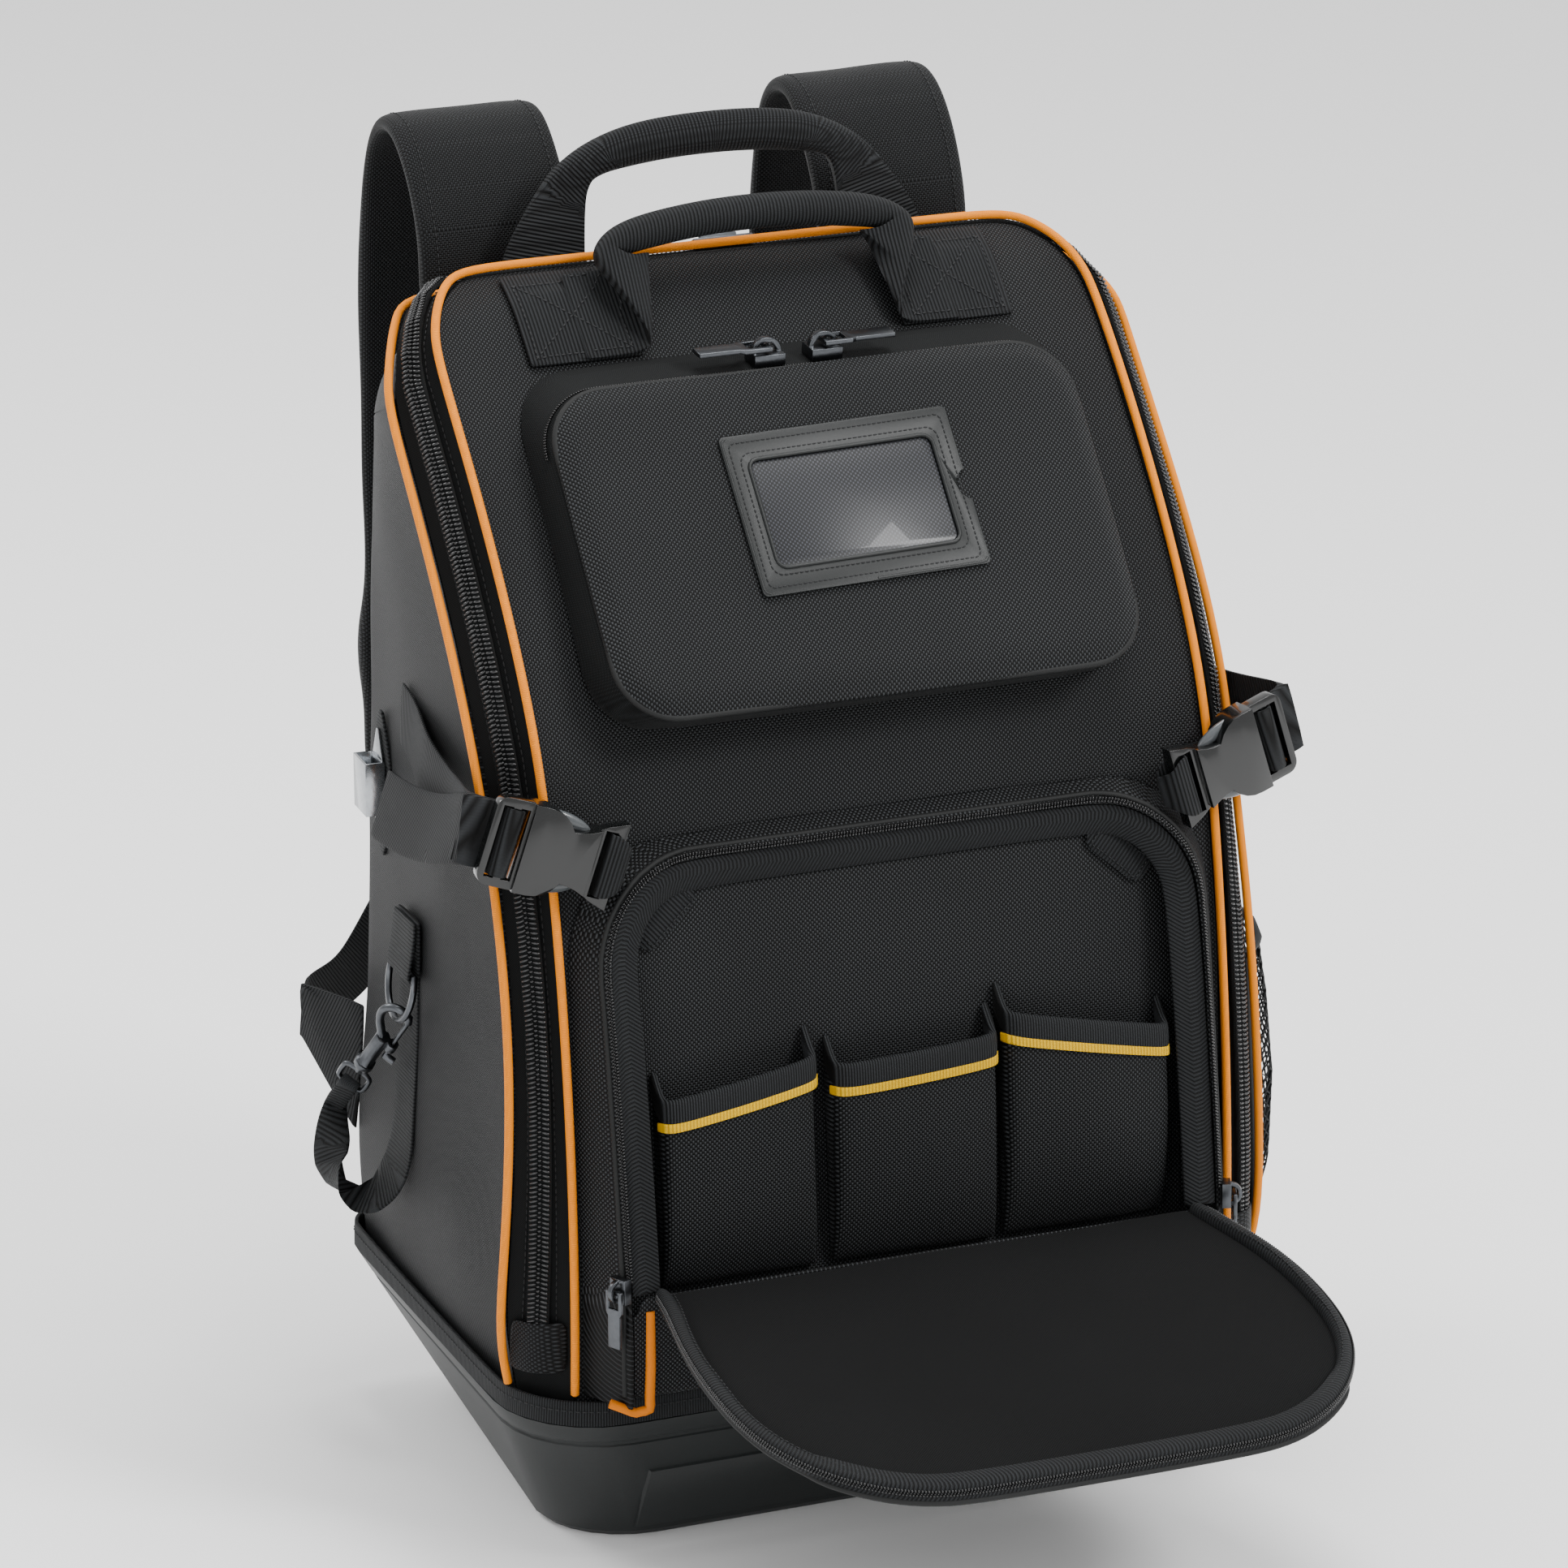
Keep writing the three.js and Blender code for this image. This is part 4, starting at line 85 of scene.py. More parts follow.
# The sewn body: a front panel, a gusset that carries the long zip, two sides, a top and a padded
# back. They are cut from coarse ballistic cloth over foam and meet in three seams.
BAG_HEIGHT, BAG_DEPTH = 522.0, 224.0
FRONT_HALF, SIDE_HALF, BACK_Y = 154.0, 176.0, 115.0
FRONT_CORNER, REAR_CORNER, REAR_DROP, GUSSET_WIDTH = 28.0, 30.0, 16.0, 32.0
BELLY = 10.0
RIM_FRONT, RIM_BACK, RIM_BAND, TRAY_FRONT, TRAY_BACK = 60.0, 74.0, 11.0, 121.0, 118.0
SHAPE_RISE = [0, 0.07, 0.17, 0.275, 0.375, 0.515, 0.615, 0.715, 0.837, 0.9, 0.94, 0.97, 0.99, 1]
SHAPE_DEPTH = [0.996, 1, 1, 0.989, 0.969, 0.923, 0.869, 0.759, 0.576, 0.466, 0.388, 0.328, 0.274, 0.22]
SHAPE_SIDE = [0.966, 1.014, 1.005, 0.99, 0.981, 0.977, 0.983, 0.983] + [0.978] * 6
SHAPE_SETBACK = [0.75, 0.64, 0.5, 0.4, 0.38, 0.53, 0.64, 0.72] + [0.8] * 6
SHAPE_SLOPES = {}
LEG_STEPS, CORNER_STEPS, TOP_STEPS = 12, 4, 4
CLOTH_THREAD = 1.05
SIDE_THREAD = 0.95


def shape_at(column, z):
    """A share of the body's shape at a height, by cubic pieces between its sections."""
    t = min(max((z - RIM_FRONT) / (BAG_HEIGHT - RIM_FRONT), 0), 1)
    i = min(max(int(np.searchsorted(SHAPE_RISE, t, "right")) - 1, 0), len(SHAPE_RISE) - 2)
    slope = lambda a: (column[a + 1] - column[a]) / (SHAPE_RISE[a + 1] - SHAPE_RISE[a])
    before = (slope(i - 1) + slope(i)) / 2 if i else slope(i)
    after = (slope(i + 1) + slope(i)) / 2 if i + 2 < len(SHAPE_RISE) else slope(i)
    step = SHAPE_RISE[i + 1] - SHAPE_RISE[i]
    s = (t - SHAPE_RISE[i]) / step
    start = column[i] * (2 * s**3 - 3 * s**2 + 1) + before * step * (s**3 - 2 * s**2 + s)
    return start + column[i + 1] * (3 * s**2 - 2 * s**3) + after * step * (s**3 - s**2)


def front_y(z):
    return BACK_Y - BAG_DEPTH * shape_at(SHAPE_DEPTH, z)


def side_x(z):
    return SIDE_HALF * shape_at(SHAPE_SIDE, z)


def rim_z(y):
    return RIM_FRONT + (RIM_BACK - RIM_FRONT) * (y + TRAY_FRONT) / (TRAY_FRONT + TRAY_BACK)


def front_normal(z):
    return Vector((0, -1, (front_y(min(z + 1.5, BAG_HEIGHT)) - front_y(z - 1.5)) / 3)).normalized()


def on_front(x, z, lift):
    """A place on the front panel, lifted off it."""
    fade = min(max(1 - (z - RIM_FRONT) / (BAG_HEIGHT * 0.2), 0), 1)
    belly = BELLY * fade**2 * (1 - min(abs(x) / FRONT_HALF, 1) ** 4)
    return Vector((x, front_y(z) - belly, z)) + front_normal(z) * lift


def seam(top, corner, half, leg_x, leg_y, top_y, foot):
    """A seam of the body from its left foot over the top to its right foot."""
    corner_z, corner_x = top - corner, half - corner
    left = []
    for i in range(LEG_STEPS):
        z = foot + (corner_z - foot) * i / LEG_STEPS
        left.append(Vector((-leg_x(z), leg_y(z), z)))
    for k in range(CORNER_STEPS):
        angle = k / CORNER_STEPS * math.pi / 2
        z = corner_z + corner * math.sin(angle)
        y = leg_y(z) if top_y is None else leg_y(corner_z) + (top_y - leg_y(corner_z)) * (1 - math.cos(angle))
        left.append(Vector((-(corner_x + corner * math.cos(angle)), y, z)))
    level = leg_y(top) if top_y is None else top_y
    left += [Vector((-corner_x * (1 - m / TOP_STEPS), level, top)) for m in range(TOP_STEPS)]
    return left + [Vector((0, level, top))] + [Vector((-p.x, p.y, p.z)) for p in reversed(left)]


front_seam = seam(BAG_HEIGHT, FRONT_CORNER, FRONT_HALF, lambda z: FRONT_HALF, front_y, None,
                  rim_z(front_y(RIM_FRONT)) + 0.3)
rear_seam = seam(BAG_HEIGHT - REAR_DROP, REAR_CORNER, SIDE_HALF * 0.978, side_x,
                 lambda z: front_y(z) + GUSSET_WIDTH * shape_at(SHAPE_SETBACK, z),
                 front_y(BAG_HEIGHT) + GUSSET_WIDTH * 0.9, rim_z(front_y(RIM_FRONT) + 24) + 0.3)
front_profile = [Vector((0, front_y(z), z)) for z in np.linspace(RIM_FRONT, BAG_HEIGHT, 60)]


def paint(code):
    """A colour's linear values from its six-digit code."""
    values = [int(code[i:i + 2], 16) / 255 for i in (0, 2, 4)]
    return tuple(v / 12.92 if v <= 0.04045 else ((v + 0.055) / 1.055) ** 2.4 for v in values) + (1.0,)


def put(tree, kind, x=0, y=0, **settings):
    """A node of a tree, with its properties and its inputs' values."""
    node = tree.nodes.new(kind)
    node.location = (x, y)
    for key, value in settings.items():
        if key.startswith("_"):
            node.inputs[int(key[1:])].default_value = value
        else:
            setattr(node, key, value)
    return node


def sums(tree, operation, first, second=None, third=None):
    """The output of a Math node on sockets or numbers."""
    node = tree.nodes.new("ShaderNodeMath")
    node.operation = operation
    for socket, value in zip(node.inputs, (first, second, third)):
        if isinstance(value, bpy.types.NodeSocket):
            tree.links.new(value, socket)
        elif value is not None:
            socket.default_value = value
    return node.outputs[0]


def shader_group(name, inputs, outputs):
    """An empty node group with float inputs and outputs, but Vector and Color by their names."""
    group = bpy.data.node_groups.new(name, "ShaderNodeTree")
    kinds = {"Vector": "NodeSocketVector", "Color": "NodeSocketColor"}
    for names, side in ((inputs, "INPUT"), (outputs, "OUTPUT")):
        for item in names:
            group.interface.new_socket(item, in_out=side, socket_type=kinds.get(item, "NodeSocketFloat"))
    return group, put(group, "NodeGroupInput", -900), put(group, "NodeGroupOutput", 700)


def woven_threads():
    """Plain weave: threads pass over and under each other, and each one shows as a small pillow."""
    group, source, result = shader_group("Woven threads", ["Vector", "Thread"], ["Height", "Top"])
    split = put(group, "ShaderNodeSeparateXYZ", -700)
    group.links.new(source.outputs["Vector"], split.inputs[0])
    u = sums(group, "DIVIDE", split.outputs[0], source.outputs["Thread"])
    v = sums(group, "DIVIDE", split.outputs[1], source.outputs["Thread"])
    turn = sums(group, "MODULO", sums(group, "ADD", sums(group, "FLOOR", u), sums(group, "FLOOR", v)), 2)
    over = sums(group, "ABSOLUTE", turn)
    fu = sums(group, "SUBTRACT", sums(group, "FRACT", u), 0.5)
    fv = sums(group, "SUBTRACT", sums(group, "FRACT", v), 0.5)
    uu = sums(group, "MULTIPLY", fu, fu)
    vv = sums(group, "MULTIPLY", fv, fv)
    warp = sums(group, "MULTIPLY", sums(group, "MULTIPLY_ADD", uu, -3.6, 1.0),
                sums(group, "MULTIPLY_ADD", vv, -1.6, 1.0))
    weft = sums(group, "MULTIPLY", sums(group, "MULTIPLY_ADD", vv, -3.6, 1.0),
                sums(group, "MULTIPLY_ADD", uu, -1.6, 1.0))
    low = sums(group, "MULTIPLY", weft, 0.72)
    mixed = sums(group, "ADD", sums(group, "MULTIPLY", warp, over),
                 sums(group, "MULTIPLY", low, sums(group, "SUBTRACT", 1.0, over)))
    group.links.new(mixed, result.inputs["Height"])
    # The second output is a painted highlight: high on the tops of the threads that pass over, low in the shaded gaps
    # between them.
    group.links.new(sums(group, "POWER", sums(group, "MULTIPLY", warp, over), 1.6), result.inputs["Top"])
    return group


def age(tree_name="Use and dust"):
    """Slow changes of shade over a surface, as cloth and plastic take on in use."""
    group, source, result = shader_group(tree_name, ["Vector", "Color", "Amount"], ["Color"])
    cloud = put(group, "ShaderNodeTexNoise", -600)
    cloud.inputs["Scale"].default_value = 14
    cloud.inputs["Detail"].default_value = 4
    group.links.new(source.outputs["Vector"], cloud.inputs["Vector"])
    shade = sums(group, "MULTIPLY", sums(group, "SUBTRACT", cloud.outputs[0], 0.5), source.outputs["Amount"])
    lighten = put(group, "ShaderNodeVectorMath", 300, operation="SCALE")
    group.links.new(source.outputs["Color"], lighten.inputs[0])
    group.links.new(sums(group, "ADD", shade, 1.0), lighten.inputs["Scale"])
    group.links.new(lighten.outputs[0], result.inputs["Color"])
    return group


WOVEN = woven_threads()
AGED = age()


def base_material(name, roughness, sheen=0.0, metallic=0.0, coat=0.0, gloss=0.3):
    """A material with its shader, and its Object coordinates."""
    material = bpy.data.materials.new(name)
    material.use_nodes = True
    tree = material.node_tree
    shader = tree.nodes["Principled BSDF"]
    shader.inputs["Roughness"].default_value = roughness
    shader.inputs["Metallic"].default_value = metallic
    shader.inputs["Sheen Weight"].default_value = sheen
    shader.inputs["Coat Weight"].default_value = coat
    shader.inputs["Specular IOR Level"].default_value = gloss
    place = put(tree, "ShaderNodeTexCoord", -1200)
    return material, tree, shader, place


def coloured(tree, shader, place, dark, light, mask, amount):
    """Mix two colours by a mask, age them and bring them to the shader."""
    mix = put(tree, "ShaderNodeMix", -300, data_type="RGBA")
    mix.inputs["A"].default_value = dark
    mix.inputs["B"].default_value = light
    tree.links.new(mask, mix.inputs["Factor"])
    aged = put(tree, "ShaderNodeGroup", -100, node_tree=AGED)
    aged.inputs["Amount"].default_value = amount
    tree.links.new(place.outputs["Object"], aged.inputs["Vector"])
    tree.links.new(mix.outputs["Result"], aged.inputs["Color"])
    tree.links.new(aged.outputs["Color"], shader.inputs["Base Color"])


def bumped(tree, shader, height, distance, strength=1.0):
    bump = put(tree, "ShaderNodeBump", -100, -300)
    bump.inputs["Distance"].default_value = distance * MM
    bump.inputs["Strength"].default_value = strength
    tree.links.new(height, bump.inputs["Height"])
    tree.links.new(bump.outputs[0], shader.inputs["Normal"])


def cloth(name, dark, light, thread, depth, roughness=0.5, sheen=0.02, amount=0.5):
    """Woven cloth: painted shade in the gaps, a painted highlight on the tops of the threads, and relief at the
    thread's own size.
    """
    material, tree, shader, place = base_material(name, roughness, sheen, gloss=0.1)
    uv = put(tree, "ShaderNodeUVMap", -1000, uv_map="lay")
    weave = put(tree, "ShaderNodeGroup", -700, node_tree=WOVEN)
    weave.inputs["Thread"].default_value = thread * MM
    tree.links.new(uv.outputs[0], weave.inputs["Vector"])
    # The dark colour is painted shade in the weave's gaps, the light colour a painted highlight on the threads' tops.
    coloured(tree, shader, place, paint(dark), paint(light), weave.outputs["Top"], amount)
    bumped(tree, shader, weave.outputs["Height"], depth)
    return material


# Each cloth's first colour is painted shade between its threads, its second a painted highlight on their tops.
ballistic = cloth("ballistic cloth", "050505", "393b3d", CLOTH_THREAD, 0.35)
side_cloth = cloth("side cloth", "050505", "2c2e30", SIDE_THREAD, 0.35)
zip_tape = cloth("zip tape", "0a0b0b", "1c1e1f", 0.5, 0.12, 0.8)


def settled(piece):
    """The piece with its modifiers made into its plain mesh."""
    bpy.context.view_layer.update()
    mesh = bpy.data.meshes.new_from_object(piece.evaluated_get(bpy.context.evaluated_depsgraph_get()))
    piece.modifiers.clear()
    piece.data = mesh
    return piece


def merged_copy(name, node, crease):
    """A copy of a frame node with shared corners, four-sided faces and creased sharp edges."""
    shape = bmesh.new()
    shape.from_mesh(nodes[node].data)
    bmesh.ops.remove_doubles(shape, verts=shape.verts, dist=0.02 * MM)
    bmesh.ops.dissolve_degenerate(shape, dist=0.01 * MM, edges=shape.edges)
    bmesh.ops.join_triangles(shape, faces=shape.faces, angle_face_threshold=0.5, angle_shape_threshold=0.9)
    layer = shape.edges.layers.float.get("crease_edge") or shape.edges.layers.float.new("crease_edge")
    for edge in shape.edges:
        if edge.is_manifold and edge.calc_face_angle(0) > math.radians(crease):
            edge[layer] = 0.85
    mesh = bpy.data.meshes.new(name)
    shape.to_mesh(mesh)
    shape.free()
    piece = bpy.data.objects.new(name, mesh)
    bpy.context.scene.collection.objects.link(piece)
    return piece


def coordinates(mesh):
    values = np.empty(len(mesh.vertices) * 3)
    mesh.vertices.foreach_get("co", values)
    return values.reshape(-1, 3)


def lay(mesh, route, across=None):
    """UVs in metres: along a route, and across it or away from it."""
    points = coordinates(mesh)
    route = np.array([tuple(p) for p in route]) * MM
    start, step = route[:-1], route[1:] - route[:-1]
    long = np.linalg.norm(step, axis=1)
    travelled = np.concatenate([[0], np.cumsum(long)[:-1]])
    share = np.clip(np.einsum("nsk,sk->ns", points[:, None] - start, step) / long**2, 0, 1)
    away = np.linalg.norm(points[:, None] - start - share[..., None] * step, axis=2)
    nearest = away.argmin(axis=1)
    rows = np.arange(len(points))
    v = travelled[nearest] + share[rows, nearest] * long[nearest]
    u = points @ np.array(tuple(across)) if across is not None else away[rows, nearest]
    layer = mesh.uv_layers.get("lay") or mesh.uv_layers.new(name="lay")
    corner = np.empty(len(mesh.loops), np.int32)
    mesh.loops.foreach_get("vertex_index", corner)
    layer.data.foreach_set("uv", np.column_stack([u, v])[corner].ravel())


def swell(mesh, depth, size, seed):
    """Soft dents and swellings of a cloth surface, by smooth noise along its normals."""
    points = coordinates(mesh)
    normals = np.empty(len(mesh.vertices) * 3)
    mesh.vertices.foreach_get("normal", normals)
    shift = Vector((seed * 7.3, seed * 3.1, seed * 1.7))
    values = np.array([noise.noise(Vector(p) / (size * MM) + shift) for p in points])
    points += normals.reshape(-1, 3) * values[:, None] * depth * MM
    mesh.vertices.foreach_set("co", points.ravel())
    mesh.update()


def shaded(mesh, angle=38):
    mesh.shade_smooth()
    mesh.set_sharp_from_angle(angle=math.radians(angle))


def dressed(piece, material, body="backpack", stands_for=()):
    """Give a finished piece its material and its body, and hide the nodes that it stands for."""
    piece.data.materials.clear()
    piece.data.materials.append(material)
    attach(piece, body)
    if stands_for:
        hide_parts(*stands_for)
    return piece


def sewn(node, material, route, across=None, levels=2, crease=38, depth=0.0, size=60, seed=1):
    """A soft piece made from a node's shape: rounded, laid along a route and gently swollen."""
    piece = merged_copy(node + "_made", node, crease)
    smooth = piece.modifiers.new("Rounded", "SUBSURF")
    smooth.levels = smooth.render_levels = levels
    settled(piece)
    if depth:
        swell(piece.data, depth, size, seed)
    lay(piece.data, route, across)
    shaded(piece.data)
    return dressed(piece, material, nodes[node]["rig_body"], (node,))


X_AXIS, Y_AXIS = Vector((1, 0, 0)), Vector((0, 1, 0))
upright = [Vector((0, 0, 0)), Vector((0, 0, BAG_HEIGHT))]
front = sewn("front_panel", ballistic, front_profile, X_AXIS, depth=1.2, size=90)
gusset = sewn("zip_gusset", zip_tape, front_seam)
for side in ("left", "right"):
    sewn(f"side_panel_{side}", side_cloth, upright, Y_AXIS, levels=3, depth=2.2, size=70, seed=3)
sewn("top_panel", ballistic, [Vector((0, 60, 515)), Vector((0, BACK_Y, 480))], X_AXIS)
back = sewn("back_panel", side_cloth, upright, X_AXIS, levels=3, depth=2.0, size=60, seed=5)


# Orange piping fills the two long seams: a cord in a folded strip of woven tape, sewn in between
# the panels.
def braid():
    """Fine diagonal threads of a piping's cover."""
    material, tree, shader, place = base_material("piping tape", 0.62, 0.0, gloss=0.15)
    uv = put(tree, "ShaderNodeUVMap", -1000, uv_map="lay")
    weave = put(tree, "ShaderNodeGroup", -700, node_tree=WOVEN)
    weave.inputs["Thread"].default_value = 0.55 * MM
    tilt = put(tree, "ShaderNodeMapping", -850)
    tilt.inputs["Rotation"].default_value = (0, 0, math.radians(40))
    tree.links.new(uv.outputs[0], tilt.inputs["Vector"])
    tree.links.new(tilt.outputs[0], weave.inputs["Vector"])
    # The darker orange is painted shade where the threads sink, the lighter orange a painted highlight on their raised
    # parts.
    coloured(tree, shader, place, paint("c46a00"), paint("ee8c06"), weave.outputs["Height"], 0.25)
    bumped(tree, shader, weave.outputs["Height"], 0.12)
    return material


orange_tape = braid()
sewn("piping_front", orange_tape, front_seam, crease=80)
sewn("piping_rear", orange_tape, rear_seam, crease=80)


# The long coil zip runs round the gusset: two rows of moulded coil on a black tape, with covers of
# cloth over its two ends, and a pair of sliders parked together at the top.
def geometry_tree(name, inputs):
    """A Geometry Nodes tree that takes a wire of seam lines, with named sizes and a material."""
    tree = bpy.data.node_groups.new(name, "GeometryNodeTree")
    tree.interface.new_socket("Geometry", in_out="INPUT", socket_type="NodeSocketGeometry")
    for item in inputs:
        tree.interface.new_socket(item, in_out="INPUT", socket_type="NodeSocketFloat")
    tree.interface.new_socket("Material", in_out="INPUT", socket_type="NodeSocketMaterial")
    tree.interface.new_socket("Geometry", in_out="OUTPUT", socket_type="NodeSocketGeometry")
    source, result = put(tree, "NodeGroupInput", -1200), put(tree, "NodeGroupOutput", 1200)
    return tree, source, result


def smooth_line(tree, source, spacing):
    """The wire as a smooth curve with points at an even spacing."""
    link = tree.links.new
    curve = put(tree, "GeometryNodeMeshToCurve", -1000)
    link(source.outputs["Geometry"], curve.inputs[0])
    kind = put(tree, "GeometryNodeCurveSplineType", -850, spline_type="CATMULL_ROM")
    link(curve.outputs[0], kind.inputs[0])
    fine = put(tree, "GeometryNodeSetSplineResolution", -750)
    fine.inputs["Resolution"].default_value = 12
    link(kind.outputs[0], fine.inputs[0])
    even = put(tree, "GeometryNodeResampleCurve", -600, mode="LENGTH")
    link(fine.outputs[0], even.inputs["Curve"])
    link(spacing, even.inputs["Length"])
    return even.outputs[0]


def facing_rotation(tree):
    """The rotation of a point on a line: X along the line and Z out of the surface."""
    link = tree.links.new
    out = put(tree, "GeometryNodeInputNamedAttribute", -500, -300, data_type="FLOAT_VECTOR")
    out.inputs["Name"].default_value = "out"
    tangent = put(tree, "GeometryNodeInputTangent", -500, -450)
    first = put(tree, "FunctionNodeAlignRotationToVector", -300, -300, axis="Z")
    link(out.outputs["Attribute"], first.inputs["Vector"])
    second = put(tree, "FunctionNodeAlignRotationToVector", -100, -300, axis="X", pivot_axis="Z")
    link(first.outputs[0], second.inputs["Rotation"])
    link(tangent.outputs[0], second.inputs["Vector"])
    return second.outputs[0]


def bead(tree, scale, move, turn=0.0):
    """A small round bead stretched to sizes given as sockets or numbers."""
    link = tree.links.new
    ball = put(tree, "GeometryNodeMeshUVSphere", -400, 400)
    ball.inputs["Segments"].default_value = 6
    ball.inputs["Rings"].default_value = 5
    ball.inputs["Radius"].default_value = 1.0
    stretch = put(tree, "ShaderNodeCombineXYZ", -400, 250)
    shift = put(tree, "ShaderNodeCombineXYZ", -400, 100)
    for node, values in ((stretch, scale), (shift, move)):
        for socket, value in zip(node.inputs, values):
            if isinstance(value, bpy.types.NodeSocket):
                link(value, socket)
            else:
                socket.default_value = value
    sized = put(tree, "GeometryNodeTransform", -200, 400)
    sized.inputs["Rotation"].default_value = (0, 0, math.radians(turn))
    link(ball.outputs["Mesh"], sized.inputs["Geometry"])
    link(shift.outputs[0], sized.inputs["Translation"])
    link(stretch.outputs[0], sized.inputs["Scale"])
    return sized.outputs[0]


def end_tree(tree, geometry, source, result):
    """Realize what was made and give it its material."""
    real = put(tree, "GeometryNodeRealizeInstances", 800)
    tree.links.new(geometry, real.inputs[0])
    smooth = put(tree, "GeometryNodeSetShadeSmooth", 900)
    tree.links.new(real.outputs[0], smooth.inputs[0])
    finish = put(tree, "GeometryNodeSetMaterial", 1000)
    tree.links.new(smooth.outputs[0], finish.inputs["Geometry"])
    tree.links.new(source.outputs["Material"], finish.inputs["Material"])
    tree.links.new(finish.outputs[0], result.inputs[0])


def coil_tree():
    """A coil zip: at each pitch two slanted loops, one of each half, and the locked middle."""
    tree, source, result = geometry_tree("Coil zip", ["Pitch", "Half width", "Wire"])
    pitch, half, wire = (source.outputs[name] for name in ("Pitch", "Half width", "Wire"))
    line = smooth_line(tree, source, pitch)
    loops = put(tree, "GeometryNodeJoinGeometry", 100, 400)
    length = sums(tree, "MULTIPLY", half, 0.46)
    for sign in (1, -1):
        move = (sums(tree, "MULTIPLY", pitch, 0.25 * sign), sums(tree, "MULTIPLY", half, 0.54 * sign), 0.0)
        tree.links.new(bead(tree, (wire, length, wire), move, 14 * sign), loops.inputs[0])
    heart = bead(tree, (sums(tree, "MULTIPLY", wire, 0.9), sums(tree, "MULTIPLY", half, 0.2), wire),
                 (0.0, 0.0, sums(tree, "MULTIPLY", wire, 0.35)))
    tree.links.new(heart, loops.inputs[0])
    placed = put(tree, "GeometryNodeInstanceOnPoints", 400)
    tree.links.new(line, placed.inputs["Points"])
    tree.links.new(loops.outputs[0], placed.inputs["Instance"])
    tree.links.new(facing_rotation(tree), placed.inputs["Rotation"])
    end_tree(tree, placed.outputs[0], source, result)
    return tree


def stitch_tree():
    """A row of stitches: short thick threads that follow a line on a surface."""
    tree, source, result = geometry_tree("Stitch row", ["Pitch", "Thread"])
    pitch, thread = source.outputs["Pitch"], source.outputs["Thread"]
    line = smooth_line(tree, source, pitch)
    half = sums(tree, "MULTIPLY", thread, 0.5)
    stitch = bead(tree, (sums(tree, "MULTIPLY", pitch, 0.42), half, half), (0.0, 0.0, 0.0))
    placed = put(tree, "GeometryNodeInstanceOnPoints", 400)
    tree.links.new(line, placed.inputs["Points"])
    tree.links.new(stitch, placed.inputs["Instance"])
    tree.links.new(facing_rotation(tree), placed.inputs["Rotation"])
    end_tree(tree, placed.outputs[0], source, result)
    return tree


def tube_tree():
    """A round cord swept along a line, closed at its ends."""
    tree, source, result = geometry_tree("Sewn cord", ["Radius", "Step"])
    line = smooth_line(tree, source, source.outputs["Step"])
    circle = put(tree, "GeometryNodeCurvePrimitiveCircle", 0, -300)
    circle.inputs["Resolution"].default_value = 8
    tree.links.new(source.outputs["Radius"], circle.inputs["Radius"])
    swept = put(tree, "GeometryNodeCurveToMesh", 400)
    swept.inputs["Fill Caps"].default_value = True
    tree.links.new(line, swept.inputs["Curve"])
    tree.links.new(circle.outputs["Curve"], swept.inputs["Profile Curve"])
    end_tree(tree, swept.outputs[0], source, result)
    return tree


COIL, STITCHES, TUBE = coil_tree(), stitch_tree(), tube_tree()


def evened(line, closed, longest=6.0):
    """A line with more points on its long stretches, so that a smooth curve stays on it."""
    ahead = line[1:] + line[:1] if closed else line[1:]
    full = []
    for (place, out), (next_place, next_out) in zip(line, ahead):
        parts = max(1, math.ceil((next_place - place).length / longest))
        full += [(place.lerp(next_place, k / parts), out.lerp(next_out, k / parts)) for k in range(parts)]
    return full if closed else full + [line[-1]]


def pressed(line, piece, lift):
    """A line brought onto a piece's surface along its outward directions."""
    found = []
    for place, out in line:
        hit, at, normal, index = piece.ray_cast((place + out * 12) * MM, -out, distance=24 * MM)
        if hit:
            found.append((at / MM + out * lift, out))
    return found


def follow(name, tree, lines, material, slot, body="backpack", closed=False, on=None, lift=0.1, **sizes):
    """A piece that a tree makes along lines of (place, outward direction), sizes in millimetres."""
    lines = [evened(line, closed) for line in lines]
    if on:
        lines = [pressed(line, on, lift) for line in lines]
    places, outs, edges = [], [], []
    for line in lines:
        first = len(places)
        places += [tuple(p * MM) for p, _ in line]
        outs += [tuple(n) for _, n in line]
        edges += [(i, i + 1) for i in range(first, len(places) - 1)]
        if closed:
            edges.append((len(places) - 1, first))
    mesh = bpy.data.meshes.new(name)
    mesh.from_pydata(places, edges, [])
    mesh.attributes.new("out", "FLOAT_VECTOR", "POINT").data.foreach_set("vector", np.array(outs).ravel())
    piece = bpy.data.objects.new(name, mesh)
    bpy.context.scene.collection.objects.link(piece)
    made = piece.modifiers.new("Made", "NODES")
    made.node_group = tree
    for item in tree.interface.items_tree:
        if item.in_out == "INPUT" and item.name in sizes:
            made[item.identifier] = sizes[item.name] * MM
        if item.name == "Material":
            made[item.identifier] = material
    return dressed(settled(piece), material, body)


def plastic(name, colour, roughness, coat=0.0, grain=0.0, grain_size=900, spot=0.25):
    """Moulded or drawn plastic, with a fine grain where it has one."""
    material, tree, shader, place = base_material(name, roughness, coat=coat)
    speck = put(tree, "ShaderNodeTexNoise", -700)
    speck.inputs["Scale"].default_value = grain_size
    tree.links.new(place.outputs["Object"], speck.inputs["Vector"])
    lighter = tuple(min(c * 1.5, 1) for c in paint(colour)[:3]) + (1,)
    coloured(tree, shader, place, paint(colour), lighter, speck.outputs[0], spot)
    if grain:
        bumped(tree, shader, speck.outputs[0], grain)
    return material


coil_plastic = plastic("coil", "0c0c0d", 0.24, coat=0.4)
thread_black = plastic("sewing thread", "161718", 0.6)
LAST = len(front_seam) - 1


